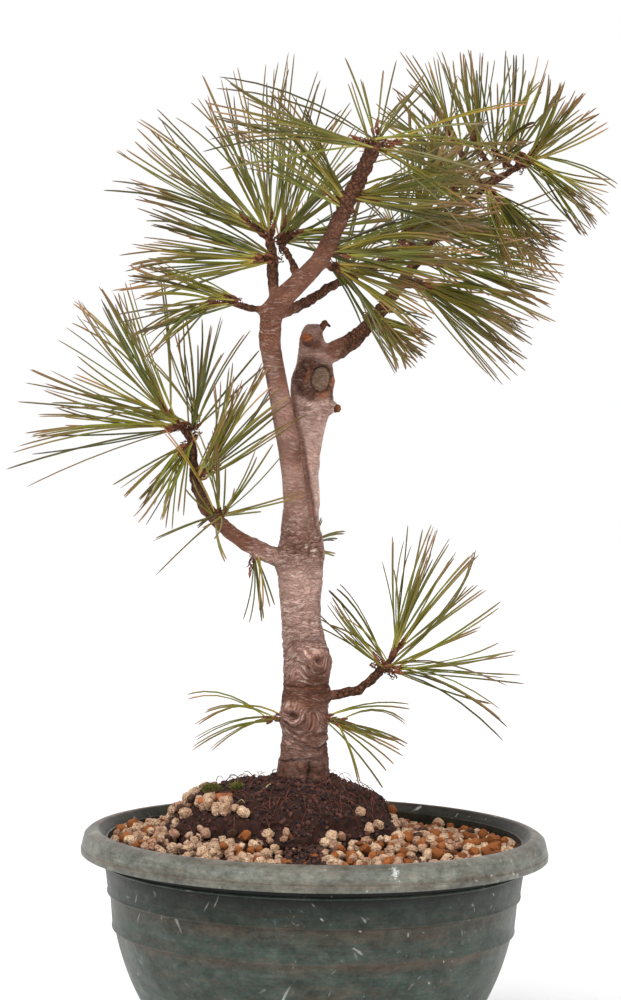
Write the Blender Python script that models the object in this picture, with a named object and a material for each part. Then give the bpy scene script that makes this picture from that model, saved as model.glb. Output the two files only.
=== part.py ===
"""A young black pine, trained as a bonsai, growing in a round plastic bowl pot.

The origin is the middle of the pot's flat base, +Z is up and the tree opens towards -Y, its
front. The tree has its own reference point, the collar, where the trunk leaves the soil. Sizes
are in metres; the lists of points that a grown shape needs are in millimetres.
"""

import math
import random

import bmesh
import bpy
import numpy as np
from mathutils import Matrix, Vector

MM = 0.001
GAP = 0.0003  # between neighbouring pieces

# Pot: a bowl with two small steps in its wall and a turned-down rim.
POT_HEIGHT = 0.155
RIM_RADIUS = 0.150
RIM_DROP = 0.013  # of the turned-down lip below the crest
RIM_LIP = 0.0024
RIM_ROLL = 0.010  # from the lip's outer side in to the crest
RIM_THICKNESS = 0.005
RIM_OVERHANG = 0.0146  # of the rim over the neck below it
BEAD = 0.0016  # of the thin ridge at the top of the neck
WALL = 0.0025
FLOOR = 0.004
FOOT_RADIUS = 0.078
FOOT_HEIGHT = 0.011
FOOT_SPREAD = 0.0022  # from the foot out to where the bowl begins
UPPER_STEP_DOWN = 0.040
UPPER_STEP_IN = 0.0029  # from the neck's radius
LOWER_STEP_DOWN = 0.0624
LOWER_STEP_IN = 0.0064  # from the neck's radius
STEP_DEPTH = 0.0015
BOWL_RISE = 0.130  # the height at which the bowl's curve would stand upright
BOWL_POINTS = 6
DRAIN_COUNT = 5
DRAIN_RADIUS = 0.004
DRAIN_CIRCLE = 0.045
POT_SIDES = 36

# Soil: a dark mound of peat around the roots, and gritty gravel that fills the rest of the pot.
MOUND_CENTRE = (-0.022, -0.008)
MOUND_RADII = (0.076, 0.066)
MOUND_EDGE = 0.004  # above the rim's crest
MOUND_RISE = 0.032
MOUND_LEAN = 0.10  # how much it falls away to the left of the trunk, per metre
BALL_DEPTH = 0.108  # of the root ball below the rim's crest
GRAVEL_DOWN = 0.006  # below the rim's crest at the wall, on average
GRAVEL_TILT = 0.004
SOIL_BUMP = 0.0012

# Tree: places are measured from the collar.
COLLAR = (-0.008, 0.0)
COLLAR_SINK = 0.001  # below the top of the mound
TREE_HEIGHT = 0.398  # of the wood above the collar
TREE_GIRTH = 1.0
TIP_ROUND = 0.35  # how far a limb's end bulges, in its radii
RING_SPACING = 0.014
SPUR_RADIUS = 0.0019
SPUR_SAG = 0.04
SPUR_STEP = 0.001  # how far a crowded bud is moved out at a time
BUD_RADIUS = 0.0040
NEEDLE_REACH = 1.0
NEEDLE_FOOT = 0.0014
NEEDLE_CLEAR = 0.0007
NEEDLE_OVER_SOIL = 0.006
ROOT_COUNT = 5
ROOT_REACH = 0.050
ROOT_DROP = 0.038
ROOT_RADIUS = 0.0075

# Each limb runs from its root end to its tip: across, away from the front, up, and radius.
LIMBS = {
    "trunk": (
        (0, 0, -44, 11), (0, 0, -30, 16.7), (0, 0, -12, 16.3), (0, 0, 27, 15.6), (1, 0, 55, 15),
        (1, 1, 70, 16.1), (-1, 1, 88, 14.3), (-4, 1, 112, 13.8), (-4, 3, 140, 15.4),
        (-5, 6, 165, 12.3), (-3, 10, 194, 10.7), (-2, 12, 218, 11), (1, 14, 245, 14.2),
        (1, 15, 256, 14.6), (2, 15, 268, 10.7), (0, 15, 283, 7.5), (0, 15, 290, 5),
    ),
    "front_leader": (
        (-6, 0, 144, 9.6), (-7, -9, 162, 8.6), (-10, -17, 195, 7.3), (-16, -22, 229, 7.2),
        (-22, -25, 259, 6.7), (-26, -26, 280, 7.3), (-25, -29, 298, 7.8), (-10, -36, 314, 6.6),
        (5, -44, 330, 5.9), (13, -52, 346, 5.5), (25, -67, 373, 5.1), (37, -82, 398, 4.6),
    ),
    "left_branch": (
        (-10, 1, 136, 8), (-26, -2, 144, 6.1), (-48, -8, 156, 4.9), (-66, -14, 174, 4.5),
        (-72, -16, 190, 3.5), (-75, -18, 217, 2.8), (-86, -20, 230, 2.2),
    ),
    "crown_branch": (
        (2, 15, 270, 7.4), (14, 14, 273, 6.8), (27, 15, 281, 5.7), (41, 20, 295, 4.7),
        (68, 32, 334, 3.7), (91, 35, 364, 3.1), (113, 29, 383, 2.9), (136, 22, 397, 2.3),
    ),
    "rear_twig": ((-22, -26, 296, 4.6), (-2, 0, 305, 3.5), (13, 10, 316, 3.2), (44, 28, 331, 2.3)),
    "low_right_branch": ((5, 0, 52, 5.1), (16, -2, 53, 3.7), (34, -5, 57, 3.2), (50, -6, 72, 2.6)),
    "left_spur": (
        (-21, -30, 301, 4.6), (-24, -26, 312, 3.6), (-25, -22, 330, 3.8), (-27, -21, 343, 2.8),
    ),
    "cross_twig": ((-8, -37, 317, 3.4), (-13, -28, 330, 2.4), (-20, -13, 341, 2.2)),
    "snag": ((6, 14, 238, 7), (14, 14, 237, 4.6), (19, 14, 239, 2.4)),
    "top_spur": ((1, 15, 281, 4), (7, 15, 289, 2.6), (10, 15, 293, 1.8)),
}

# Each tuft: its limb, the place of its bud, the way it points, its needles' length in
# millimetres, and how far its needles open from that way, in degrees.
TUFTS = {
    "left_spur_top": ("left_spur", (-26, -20, 355), (-0.30, -0.05, 0.95), 108, 34),
    "left_spur_outer": ("left_spur", (-41, -28, 355), (-0.85, -0.20, 0.45), 96, 26),
    "left_spur_side": ("left_spur", (-35, -30, 331), (-1.00, -0.15, 0.10), 88, 28),
    "left_spur_inner": ("cross_twig", (-18, -6, 352), (0.25, 0.10, 0.95), 94, 28),
    "left_spur_rear": ("cross_twig", (-17, 12, 347), (0.35, 0.80, 0.50), 80, 42),
    "left_spur_right": ("cross_twig", (-10, -8, 349), (0.90, 0.20, 0.20), 72, 36),
    "left_twig": ("front_leader", (-61, -38, 305), (-0.95, -0.15, -0.05), 66, 44),
    "leader_left_spur": ("front_leader", (13, -60, 367), (-0.75, 0.10, 0.60), 84, 30),
    "leader_right_spur": ("front_leader", (35, -64, 367), (0.95, -0.20, 0.00), 82, 32),
    "leader_mid_spur": ("front_leader", (23, -46, 333), (0.95, -0.20, 0.10), 92, 34),
    "leader_low_spur": ("front_leader", (24, -36, 321), (0.75, -0.25, -0.45), 66, 40),
    "rear_twig_tip": ("rear_twig", (50, 31, 336), (0.85, 0.30, 0.20), 86, 38),
    "rear_twig_side": ("rear_twig", (17, 26, 328), (0.20, 0.75, 0.55), 74, 42),
    "leader_tip_left": ("front_leader", (28, -87, 402), (-0.98, -0.10, 0.20), 98, 22),
    "leader_tip_right": ("front_leader", (47, -86, 400), (0.93, -0.20, -0.25), 88, 36),
    "leader_tip_up": ("front_leader", (38, -80, 409), (0.10, 0.35, 0.95), 50, 42),
    "crown_tip_up": ("crown_branch", (141, 24, 406), (0.60, 0.05, 0.80), 52, 36),
    "crown_tip_out": ("crown_branch", (145, 20, 396), (0.75, -0.15, -0.62), 60, 34),
    "crown_top": ("crown_branch", (103, 36, 414), (-0.02, 0.05, 1.00), 64, 36),
    "crown_top_left": ("crown_branch", (88, 46, 416), (-0.60, 0.10, 0.80), 60, 32),
    "crown_top_back": ("crown_branch", (81, 66, 407), (-0.80, 0.50, 0.45), 54, 36),
    "crown_top_right": ("crown_branch", (123, 16, 409), (0.50, -0.15, 0.85), 62, 34),
    "crown_top_front": ("crown_branch", (114, 0, 405), (0.15, -0.80, 0.55), 58, 42),
    "crown_under": ("crown_branch", (117, 18, 372), (0.50, -0.15, -0.80), 58, 32),
    "crown_right_mid": ("crown_branch", (94, 44, 351), (0.95, 0.20, -0.05), 76, 30),
    "crown_right_low": ("crown_branch", (81, 10, 332), (0.97, -0.15, -0.10), 84, 26),
    "crown_right_base": ("crown_branch", (72, -2, 317), (0.85, -0.20, -0.45), 86, 26),
    "crown_centre": ("crown_branch", (59, -8, 351), (0.55, -0.65, 0.30), 76, 44),
    "crown_centre_high": ("crown_branch", (68, 16, 372), (0.40, -0.40, 0.75), 70, 40),
    "crown_centre_rear": ("crown_branch", (58, 58, 345), (0.10, 0.90, 0.30), 76, 44),
    "crown_rear": ("crown_branch", (92, 74, 385), (0.20, 0.85, 0.40), 66, 44),
    "crown_rear_low": ("crown_branch", (74, 76, 355), (0.50, 0.80, -0.20), 72, 38),
    "crown_low_spur": ("crown_branch", (47, 12, 290), (0.75, -0.10, -0.60), 36, 44),
    "left_branch_tip": ("left_branch", (-94, -22, 237), (-0.42, -0.10, 0.90), 94, 30),
    "left_branch_outer": ("left_branch", (-87, -28, 222), (-0.98, -0.15, 0.08), 100, 28),
    "left_branch_under": ("left_branch", (-82, -22, 211), (-0.45, -0.20, -0.85), 56, 32),
    "left_branch_rear": ("left_branch", (-71, -4, 228), (0.15, 0.35, 0.90), 74, 36),
    "left_branch_mid": ("left_branch", (-60, -24, 197), (0.40, -0.20, 0.88), 78, 40),
    "left_branch_front": ("left_branch", (-54, -26, 170), (-0.15, -0.70, 0.35), 72, 64),
    "left_branch_low": ("left_branch", (-36, -6, 135), (0.30, -0.10, -0.95), 38, 28),
    "trunk_rear": ("trunk", (4, 34, 147), (0.30, 0.95, 0.15), 32, 40),
    "low_right_top": ("low_right_branch", (59, -6, 85), (0.45, 0.00, 0.90), 86, 34),
    "low_right_tip": ("low_right_branch", (57, -14, 71), (0.97, -0.15, 0.02), 88, 34),
    "low_right_inner": ("low_right_branch", (46, -2, 78), (-0.75, 0.15, 0.60), 60, 36),
    "low_right_small": ("trunk", (23, -12, 38), (0.85, -0.25, -0.30), 52, 54),
    "low_left_small": ("trunk", (-24, -8, 38), (-0.85, -0.20, -0.25), 54, 52),
}
NEEDLE_SEED = 7
NEEDLE_TRIES = 14
NEEDLE_SHARE = 0.62  # of a bud's front faces that carry needles
BUD_FRONT = math.radians(78)

# Loose pieces on the mound, measured from the pot's middle.
BARK_PATH = ((-73, -30, 3.4), (-62, -38, 3.0), (-52, -42, 2.0))
MOSS = {"moss_large": (-66, -14, 7.0), "moss_small": (-50, -25, 4.5)}
MOSS_FLATTEN = 0.6

COLOURS = {
    "pot": (0.115, 0.165, 0.155, 0.50),
    "gravel_fill": (0.42, 0.33, 0.24, 0.95),
    "root_ball": (0.055, 0.036, 0.024, 0.95),
    "trunk_and_branches": (0.23, 0.15, 0.11, 0.85),
    "loose_bark": (0.33, 0.11, 0.045, 0.85),
    "moss": (0.10, 0.13, 0.03, 0.95),
    "needles": (0.06, 0.105, 0.03, 0.45),
}


def clear_scene():
    for obj in list(bpy.data.objects):
        bpy.data.objects.remove(obj, do_unlink=True)


def material(name, finish):
    made = bpy.data.materials.new(name)
    made.use_nodes = True
    shader = made.node_tree.nodes["Principled BSDF"]
    shader.inputs["Base Color"].default_value = (*finish[:3], 1.0)
    shader.inputs["Roughness"].default_value = finish[3]
    shader.inputs["Metallic"].default_value = 0.0
    return made


def add_object(name, bm, finish):
    """Make one named object from a bmesh, with a material of its own."""
    bmesh.ops.recalc_face_normals(bm, faces=bm.faces)
    mesh = bpy.data.meshes.new(name)
    bm.to_mesh(mesh)
    bm.free()
    mesh.shade_smooth()
    mesh.set_sharp_from_angle(angle=math.radians(40))
    obj = bpy.data.objects.new(name, mesh)
    obj.data.materials.append(material(name, COLOURS[finish]))
    bpy.context.scene.collection.objects.link(obj)
    return obj


def add_guide(name, bm, collection):
    """Make a guide body that a Boolean reads and that isn't a piece itself."""
    bmesh.ops.recalc_face_normals(bm, faces=bm.faces)
    mesh = bpy.data.meshes.new(name)
    bm.to_mesh(mesh)
    bm.free()
    obj = bpy.data.objects.new(name, mesh)
    obj.hide_render = True
    obj.display_type = "WIRE"
    collection.objects.link(obj)
    return obj


def new_collection(name):
    made = bpy.data.collections.new(name)
    bpy.context.scene.collection.children.link(made)
    return made


def combine(obj, collection, operation):
    step = obj.modifiers.new(operation.lower(), "BOOLEAN")
    step.operation = operation
    step.solver = "EXACT"
    step.operand_type = "COLLECTION"
    step.collection = collection


def skin_rings(rings, low_pole, high_pole):
    """Close a stack of rings of points into one body with a pole at each end."""
    bm = bmesh.new()
    loops = [[bm.verts.new(point) for point in ring] for ring in rings]
    for below, above in zip(loops, loops[1:]):
        for i in range(len(below)):
            j = (i + 1) % len(below)
            bm.faces.new((below[i], below[j], above[j], above[i]))
    for loop, pole in ((loops[0], low_pole), (loops[-1], high_pole)):
        tip = bm.verts.new(pole)
        for i in range(len(loop)):
            bm.faces.new((loop[i], loop[(i + 1) % len(loop)], tip))
    return bm


def circle(radius, height, sides):
    turns = [2 * math.pi * i / sides for i in range(sides)]
    return [Vector((radius * math.cos(turn), radius * math.sin(turn), height)) for turn in turns]


# --- pot -----------------------------------------------------------------------------------


def neck_radius():
    return RIM_RADIUS - RIM_OVERHANG


def bowl_points():
    """The curved wall from the foot up to the lower step: a part of an ellipse."""
    def rise(height):
        return math.sqrt(max(0.0, 1 - (1 - height / BOWL_RISE) ** 2))

    low = FOOT_HEIGHT + STEP_DEPTH
    high = POT_HEIGHT - LOWER_STEP_DOWN
    start = FOOT_RADIUS + FOOT_SPREAD
    end = neck_radius() - LOWER_STEP_IN - STEP_DEPTH
    points = []
    for i in range(BOWL_POINTS):
        height = low + (high - low) * i / (BOWL_POINTS - 1)
        share = (rise(height) - rise(low)) / (rise(high) - rise(low))
        points.append((start + (end - start) * share, height))
    return points


def outer_profile():
    """Outer side of the pot from the foot to the neck under the rim."""
    neck = neck_radius()
    upper = POT_HEIGHT - UPPER_STEP_DOWN
    lower = POT_HEIGHT - LOWER_STEP_DOWN
    foot = [(FOOT_RADIUS - STEP_DEPTH, 0.0), (FOOT_RADIUS, STEP_DEPTH), (FOOT_RADIUS, FOOT_HEIGHT)]
    steps = [
        (neck - LOWER_STEP_IN, lower + STEP_DEPTH),
        (neck - UPPER_STEP_IN - STEP_DEPTH, upper),
        (neck - UPPER_STEP_IN, upper + STEP_DEPTH),
        (neck, POT_HEIGHT - RIM_DROP - 0.5 * RIM_LIP),
    ]
    return foot + bowl_points() + steps


def inner_profile():
    """Inner side of the pot from its floor to its neck, one wall's thickness inside the outer."""
    outer = outer_profile()
    profile = [(FOOT_RADIUS - WALL, FLOOR), (FOOT_RADIUS - WALL, FOOT_HEIGHT + WALL)]
    for i in range(3, len(outer)):
        radius, height = outer[i]
        profile.append((radius - WALL, height + (WALL if i == 3 else 0)))
    return profile


def rim_profile():
    """The turned-down rim, from the neck outside, over the crest, to the ledge inside."""
    neck = neck_radius()
    under = POT_HEIGHT - RIM_THICKNESS
    lip = POT_HEIGHT - RIM_DROP
    crest = RIM_RADIUS - RIM_ROLL
    return [
        (neck + BEAD, lip - 0.2 * BEAD),
        (neck + 0.4 * BEAD, lip + 0.8 * BEAD),
        (neck + 0.6 * BEAD, under),
        (RIM_RADIUS - 1.4 * RIM_LIP, under),
        (RIM_RADIUS - RIM_LIP, lip),
        (RIM_RADIUS, lip),
        (RIM_RADIUS, POT_HEIGHT - 0.6 * RIM_ROLL),
        (RIM_RADIUS - 0.18 * RIM_ROLL, POT_HEIGHT - 0.22 * RIM_ROLL),
        (RIM_RADIUS - 0.5 * RIM_ROLL, POT_HEIGHT - 0.04 * RIM_ROLL),
        (crest, POT_HEIGHT),
        (crest - 0.26 * RIM_ROLL, POT_HEIGHT - 0.10 * RIM_ROLL),
        (neck - WALL + BEAD, under),
        (neck - WALL, under - 0.4 * BEAD),
    ]


def add_pot():
    profile = outer_profile() + rim_profile() + inner_profile()[::-1]
    rings = [circle(radius, height, POT_SIDES) for radius, height in profile]
    pot = add_object("pot", skin_rings(rings, (0, 0, 0), (0, 0, FLOOR)), "pot")
    drains = new_collection("drains")
    for i in range(DRAIN_COUNT):
        turn = 2 * math.pi * (i + 0.25) / DRAIN_COUNT
        centre = Vector((DRAIN_CIRCLE * math.cos(turn), DRAIN_CIRCLE * math.sin(turn), 0))
        rings = [[centre + point for point in circle(DRAIN_RADIUS, height, 10)]
                 for height in (-FLOOR, 2 * FLOOR)]
        poles = [centre + Vector((0, 0, height)) for height in (-FLOOR, 2 * FLOOR)]
        add_guide(f"drain_{i}", skin_rings(rings, *poles), drains)
    combine(pot, drains, "DIFFERENCE")
    return pot


# --- soil ----------------------------------------------------------------------------------


def bumps(x, y):
    """A gentle unevenness of the soil, between -1 and 1."""
    wave = math.sin(x / 0.0091 + 1.3) * math.cos(y / 0.0077 - 0.6)
    return 0.6 * wave + 0.4 * math.sin((x + y) / 0.0049) * math.sin((x - y) / 0.0063 + 0.9)


def mound_share(x, y):
    """How far out from the mound's middle a place is: 1 at the mound's edge."""
    across = (x - MOUND_CENTRE[0]) / MOUND_RADII[0]
    away = (y - MOUND_CENTRE[1]) / MOUND_RADII[1]
    return math.hypot(across, away)


def gravel_height(x, y):
    """Height of the gravel, which falls away from the mound's edge to the pot's wall."""
    edge = POT_HEIGHT + MOUND_EDGE
    wall = POT_HEIGHT - GRAVEL_DOWN - GRAVEL_TILT * y / neck_radius()
    fall = min(1.0, max(0.0, 1 - (mound_share(x, y) - 1) / 0.75))
    return wall + (edge - wall) * fall ** 1.5 + SOIL_BUMP * bumps(x, y)


def soil_height(x, y):
    """Height of the soil's surface: the mound, and the gravel around it."""
    out = mound_share(x, y)
    if out < 1:
        top = POT_HEIGHT + MOUND_EDGE + MOUND_RISE * (1 - out ** 4) ** 0.8
        return top - MOUND_LEAN * max(0.0, COLLAR[0] - x) + SOIL_BUMP * bumps(x, y)
    return gravel_height(x, y)


def inner_radius(height):
    """Radius of the pot's inside at a height, read from its inner profile."""
    profile = inner_profile()
    for (low_r, low_z), (high_r, high_z) in zip(profile, profile[1:]):
        if low_z <= height <= high_z:
            return low_r + (high_r - low_r) * (height - low_z) / (high_z - low_z)
    return profile[-1][0]


BALL_SIDES = 30
BALL_TAPER = ((0.0, 1.0), (0.16, 0.99), (0.45, 0.92), (0.75, 0.76), (0.95, 0.52))


def ball_ring(share, height, grow):
    """One ring of the root ball, at a height or, with none given, on the soil's surface."""
    ring = []
    for i in range(BALL_SIDES):
        turn = 2 * math.pi * i / BALL_SIDES
        x = MOUND_CENTRE[0] + (MOUND_RADII[0] * share + grow) * math.cos(turn)
        y = MOUND_CENTRE[1] + (MOUND_RADII[1] * share + grow) * math.sin(turn)
        ring.append(Vector((x, y, soil_height(x, y) if height is None else height)))
    return ring


def ball_side(grow):
    """Rings of the root ball's buried side, from its bottom up to the rim's crest."""
    rings = []
    for down, share in reversed(BALL_TAPER):
        rings.append(ball_ring(share, POT_HEIGHT - BALL_DEPTH * down, grow))
    return rings


def add_root_ball(cutters):
    bottom = POT_HEIGHT - BALL_DEPTH
    tops = [ball_ring(share, None, 0.0) for share in (0.995, 0.90, 0.75, 0.55, 0.3)]
    middle = (*MOUND_CENTRE, soil_height(*MOUND_CENTRE))
    body = skin_rings(ball_side(0.0) + tops, (*MOUND_CENTRE, bottom), middle)
    ball = add_object("root_ball", body, "root_ball")
    combine(ball, cutters, "DIFFERENCE")
    return ball


def add_gravel():
    """Everything inside the pot around the root ball, with the ball's own pocket cut in it."""
    sides = POT_SIDES
    rings = []
    floor = FLOOR + GAP
    for radius, height in inner_profile():
        level = max(height, floor)
        rings.append(circle(radius - 2 * GAP, level, sides))
        if height >= POT_HEIGHT - UPPER_STEP_DOWN:
            break
    wall = inner_radius(POT_HEIGHT - GRAVEL_DOWN - GRAVEL_TILT) - 2 * GAP
    for share in (1.0, 0.9, 0.8, 0.7, 0.6, 0.5, 0.3):
        rings.append([Vector((p.x, p.y, gravel_height(p.x, p.y))) for p in circle(wall * share, 0, sides)])
    gravel = add_object("gravel_fill", skin_rings(rings, (0, 0, floor), (0, 0, POT_HEIGHT)), "gravel_fill")
    pocket = new_collection("pocket")
    top = POT_HEIGHT + MOUND_EDGE + MOUND_RISE + 0.02
    rings = ball_side(GAP) + [ball_ring(1.0, top, GAP)]
    bottom = POT_HEIGHT - BALL_DEPTH - GAP
    rings[0] = ball_ring(BALL_TAPER[-1][1], rings[0][0].z - GAP, GAP)
    poles = ((*MOUND_CENTRE, bottom), (*MOUND_CENTRE, top))
    add_guide("ball_pocket", skin_rings(rings, *poles), pocket)
    combine(gravel, pocket, "DIFFERENCE")
    return gravel


# --- wood ----------------------------------------------------------------------------------


def tree_point(x, y, z):
    """A place given from the collar in millimetres, in the frame, at the tree's height."""
    scale = TREE_HEIGHT / max(point[2] for limb in LIMBS.values() for point in limb)
    collar = Vector((*COLLAR, POT_HEIGHT + MOUND_EDGE + MOUND_RISE - COLLAR_SINK))
    return collar + Vector((x, y, z)) * scale


def smooth_path(points):
    """Run a smooth curve through (place, radius) pairs, a ring about every RING_SPACING."""
    rows = [(*place, radius) for place, radius in points]
    path = []
    for i in range(len(rows) - 1):
        quad = [np.array(rows[min(max(k, 0), len(rows) - 1)]) for k in (i - 1, i, i + 1, i + 2)]
        length = float(np.linalg.norm(quad[2][:3] - quad[1][:3]))
        count = max(1, round(length / RING_SPACING))
        for j in range(count):
            t = j / count
            row = 0.5 * (2 * quad[1] + (quad[2] - quad[0]) * t
                         + (2 * quad[0] - 5 * quad[1] + 4 * quad[2] - quad[3]) * t * t
                         + (3 * quad[1] - quad[0] - 3 * quad[2] + quad[3]) * t ** 3)
            path.append((Vector(row[:3]), float(row[3])))
    path.append(points[-1])
    return path


def limb_path(name):
    points = [(tree_point(x, y, z), radius * MM * TREE_GIRTH) for x, y, z, radius in LIMBS[name]]
    return smooth_path(points)


def root_path(index):
    """A root that leaves the foot of the trunk and sinks through the root ball."""
    turn = 2 * math.pi * (index + 0.3) / ROOT_COUNT
    outward = Vector((math.cos(turn), math.sin(turn), 0))
    start = tree_point(0, 0, -27)
    points = []
    for share, radius in ((0.0, 1.15), (0.5, 0.8), (1.0, 0.3)):
        drop = Vector((0, 0, -ROOT_DROP * share ** 1.5))
        points.append((start + outward * ROOT_REACH * share + drop, ROOT_RADIUS * radius))
    return smooth_path(points)


def tube(path, grow=0.0):
    """Skin a path with rings across it, each turned as little as it can be from the last."""
    widest = max(radius for _, radius in path)
    sides = 6 + 2 * round(widest / 0.006)
    ahead = (path[1][0] - path[0][0]).normalized()
    side = ahead.orthogonal().normalized()
    rings = []
    for i, (place, radius) in enumerate(path):
        before, after = path[max(i - 1, 0)][0], path[min(i + 1, len(path) - 1)][0]
        along = (after - before).normalized()
        side = (side - along * side.dot(along)).normalized()
        up = along.cross(side)
        ring = []
        for k in range(sides):
            turn = 2 * math.pi * k / sides
            ring.append(place + (side * math.cos(turn) + up * math.sin(turn)) * (radius + grow))
        rings.append(ring)
    first, last = path[0], path[-1]
    start = first[0] - (path[1][0] - first[0]).normalized() * (TIP_ROUND * first[1] + grow)
    end = last[0] + (last[0] - path[-2][0]).normalized() * (TIP_ROUND * last[1] + grow)
    return skin_rings(rings, start, end)


def nearest_on(path, place):
    """The point of a path nearest to a place, and the path's radius there."""
    best = None
    for (a, ra), (b, rb) in zip(path, path[1:]):
        span = b - a
        t = min(1.0, max(0.0, (place - a).dot(span) / span.length_squared))
        point = a + span * t
        if best is None or (point - place).length < best[2]:
            best = (point, ra + (rb - ra) * t, (point - place).length)
    return best


def spur_and_bud(path, place, further=0.0):
    """Where a tuft's bud sits, and the short spur that carries it if it stands off its limb."""
    root, radius, away = nearest_on(path, place)
    outward = (place - root).normalized()
    least = radius + BUD_RADIUS + GAP
    bud = root + outward * (max(away, least) + further)
    tip = bud - outward * (BUD_RADIUS + GAP + TIP_ROUND * SPUR_RADIUS)
    if (tip - root).length < radius + SPUR_STEP:
        return bud, None
    thick = max(SPUR_RADIUS, min(0.72 * radius, 1.5 * SPUR_RADIUS))
    middle = (root + tip) / 2 - Vector((0, 0, SPUR_SAG)) * (tip - root).length
    return bud, [(root, thick), (middle, (thick + SPUR_RADIUS) / 2), (tip, SPUR_RADIUS)]


def room_around(place, radius, path):
    """Least gap between a ball and a limb."""
    gap = math.inf
    for (a, ra), (b, rb) in zip(path, path[1:]):
        point, thick, away = nearest_on([(a, ra), (b, rb)], place)
        gap = min(gap, away - thick - radius)
    return gap


def place_buds(limbs):
    """Set every bud and spur, moving a bud out along its spur until nothing crowds it."""
    buds, spurs = {}, []
    for name, (limb, place, _, _, _) in TUFTS.items():
        further = 0.0
        while True:
            bud, spur = spur_and_bud(limbs[limb], tree_point(*place), further)
            wood = list(limbs.values()) + spurs
            gaps = [room_around(bud, BUD_RADIUS, path) for path in wood]
            gaps += [(bud - other).length - 2 * BUD_RADIUS for other in buds.values()]
            gaps += [room_around(other, BUD_RADIUS, spur) for other in buds.values() if spur]
            if min(gaps) > 0.9 * GAP:
                break
            further += SPUR_STEP
        buds[name] = bud
        if spur:
            spurs.append(spur)
    return buds, spurs


def add_wood(limbs, roots, spurs):
    wood = add_object("trunk_and_branches", tube(limbs["trunk"]), "trunk_and_branches")
    others = new_collection("other_wood")
    paths = [path for name, path in limbs.items() if name != "trunk"]
    for i, path in enumerate(paths + roots + spurs):
        add_guide(f"wood_{i}", tube(path), others)
    combine(wood, others, "UNION")
    return wood


# --- needles -------------------------------------------------------------------------------


class Obstacles:
    """Tapered rods that new needles keep clear of."""

    def __init__(self):
        self.rows = []
        self.table = None

    def add(self, start, end, start_radius, end_radius, owner):
        self.rows.append((*start, *end, start_radius, end_radius, owner))
        self.table = None

    def clearance(self, start, end, foot, owner):
        """Least gap between a needle that tapers to nothing and the rods of other owners."""
        if self.table is None:
            self.table = np.array(self.rows)
        rods = self.table[self.table[:, 8] != owner]
        d1 = np.array(end - start)
        d2 = rods[:, 3:6] - rods[:, 0:3]
        r = np.array(start) - rods[:, 0:3]
        a, e = d1 @ d1, np.maximum(np.einsum("ij,ij->i", d2, d2), 1e-12)
        b, c, f = d2 @ d1, r @ d1, np.einsum("ij,ij->i", d2, r)
        s = np.clip((b * f - c * e) / np.maximum(a * e - b * b, 1e-14), 0, 1)
        t = np.clip((b * s + f) / e, 0, 1)
        s = np.clip((b * t - c) / a, 0, 1)
        gap = np.linalg.norm(r + np.outer(s, d1) - d2 * t[:, None], axis=1)
        gap -= foot * (1 - s) + rods[:, 6] + (rods[:, 7] - rods[:, 6]) * t
        return float(gap.min())


def over_soil(start, tip):
    """Whether a needle stays above the soil and the pot's rim."""
    for i in range(1, 9):
        place = start.lerp(tip, i / 8)
        if math.hypot(place.x, place.y) > RIM_RADIUS + NEEDLE_OVER_SOIL:
            continue
        floor = POT_HEIGHT if place.xy.length > neck_radius() - RIM_ROLL else soil_height(place.x, place.y)
        if place.z < floor + NEEDLE_OVER_SOIL:
            return False
    return True


def add_tuft(name, bud, aim, length, opening, owner, obstacles):
    """A bud with needles drawn out of its front faces, each bundle of needles one thin spike."""
    rng = random.Random(NEEDLE_SEED + owner)
    aim = Vector(aim).normalized()
    bm = bmesh.new()
    facing = aim.to_track_quat("Z", "Y").to_matrix().to_4x4()
    placed = Matrix.Translation(bud) @ Matrix.Rotation(rng.uniform(0, math.pi), 4, aim) @ facing
    bmesh.ops.create_icosphere(bm, subdivisions=2, radius=BUD_RADIUS, matrix=placed)
    fronts = [face for face in bm.faces if aim.angle(face.normal) < BUD_FRONT]
    spikes = []
    for face in fronts:
        if rng.random() > NEEDLE_SHARE:
            continue
        tilt = aim.angle(face.normal)
        axis = aim.cross(face.normal).normalized() if tilt > 1e-3 else aim.orthogonal()
        start = face.calc_center_median()
        for _ in range(NEEDLE_TRIES):
            spread = opening * tilt / BUD_FRONT + rng.uniform(-0.06, 0.06)
            way = Matrix.Rotation(spread, 3, axis) @ aim
            way = Matrix.Rotation(rng.uniform(-0.10, 0.10), 3, aim) @ way
            tip = bud + way * length * rng.uniform(0.80, 1.0)
            clear = obstacles.clearance(start, tip, NEEDLE_FOOT, owner) > NEEDLE_CLEAR
            if clear and over_soil(start, tip):
                spikes.append((face, start, tip))
                break
    for face, start, tip in spikes:
        obstacles.add(start, tip, NEEDLE_FOOT, 0.0, owner)
        poked = bmesh.ops.poke(bm, faces=[face])
        poked["verts"][0].co = tip
    add_object(name, bm, "needles")
    return len(spikes)


# --- loose pieces --------------------------------------------------------------------------


def bark_path():
    points = []
    for x, y, radius in BARK_PATH:
        height = soil_height(x * MM, y * MM) + 0.3 * radius * MM
        points.append((Vector((x * MM, y * MM, height)), radius * MM))
    return points


def moss_body(x, y, radius, grow=0.0):
    bm = bmesh.new()
    centre = Vector((x * MM, y * MM, soil_height(x * MM, y * MM)))
    bmesh.ops.create_icosphere(bm, subdivisions=2, radius=1.0)
    for vert in bm.verts:
        scale = Vector((radius * MM, radius * MM, radius * MM * MOSS_FLATTEN)) + Vector((grow,) * 3)
        vert.co = centre + vert.co * scale
    return bm


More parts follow.
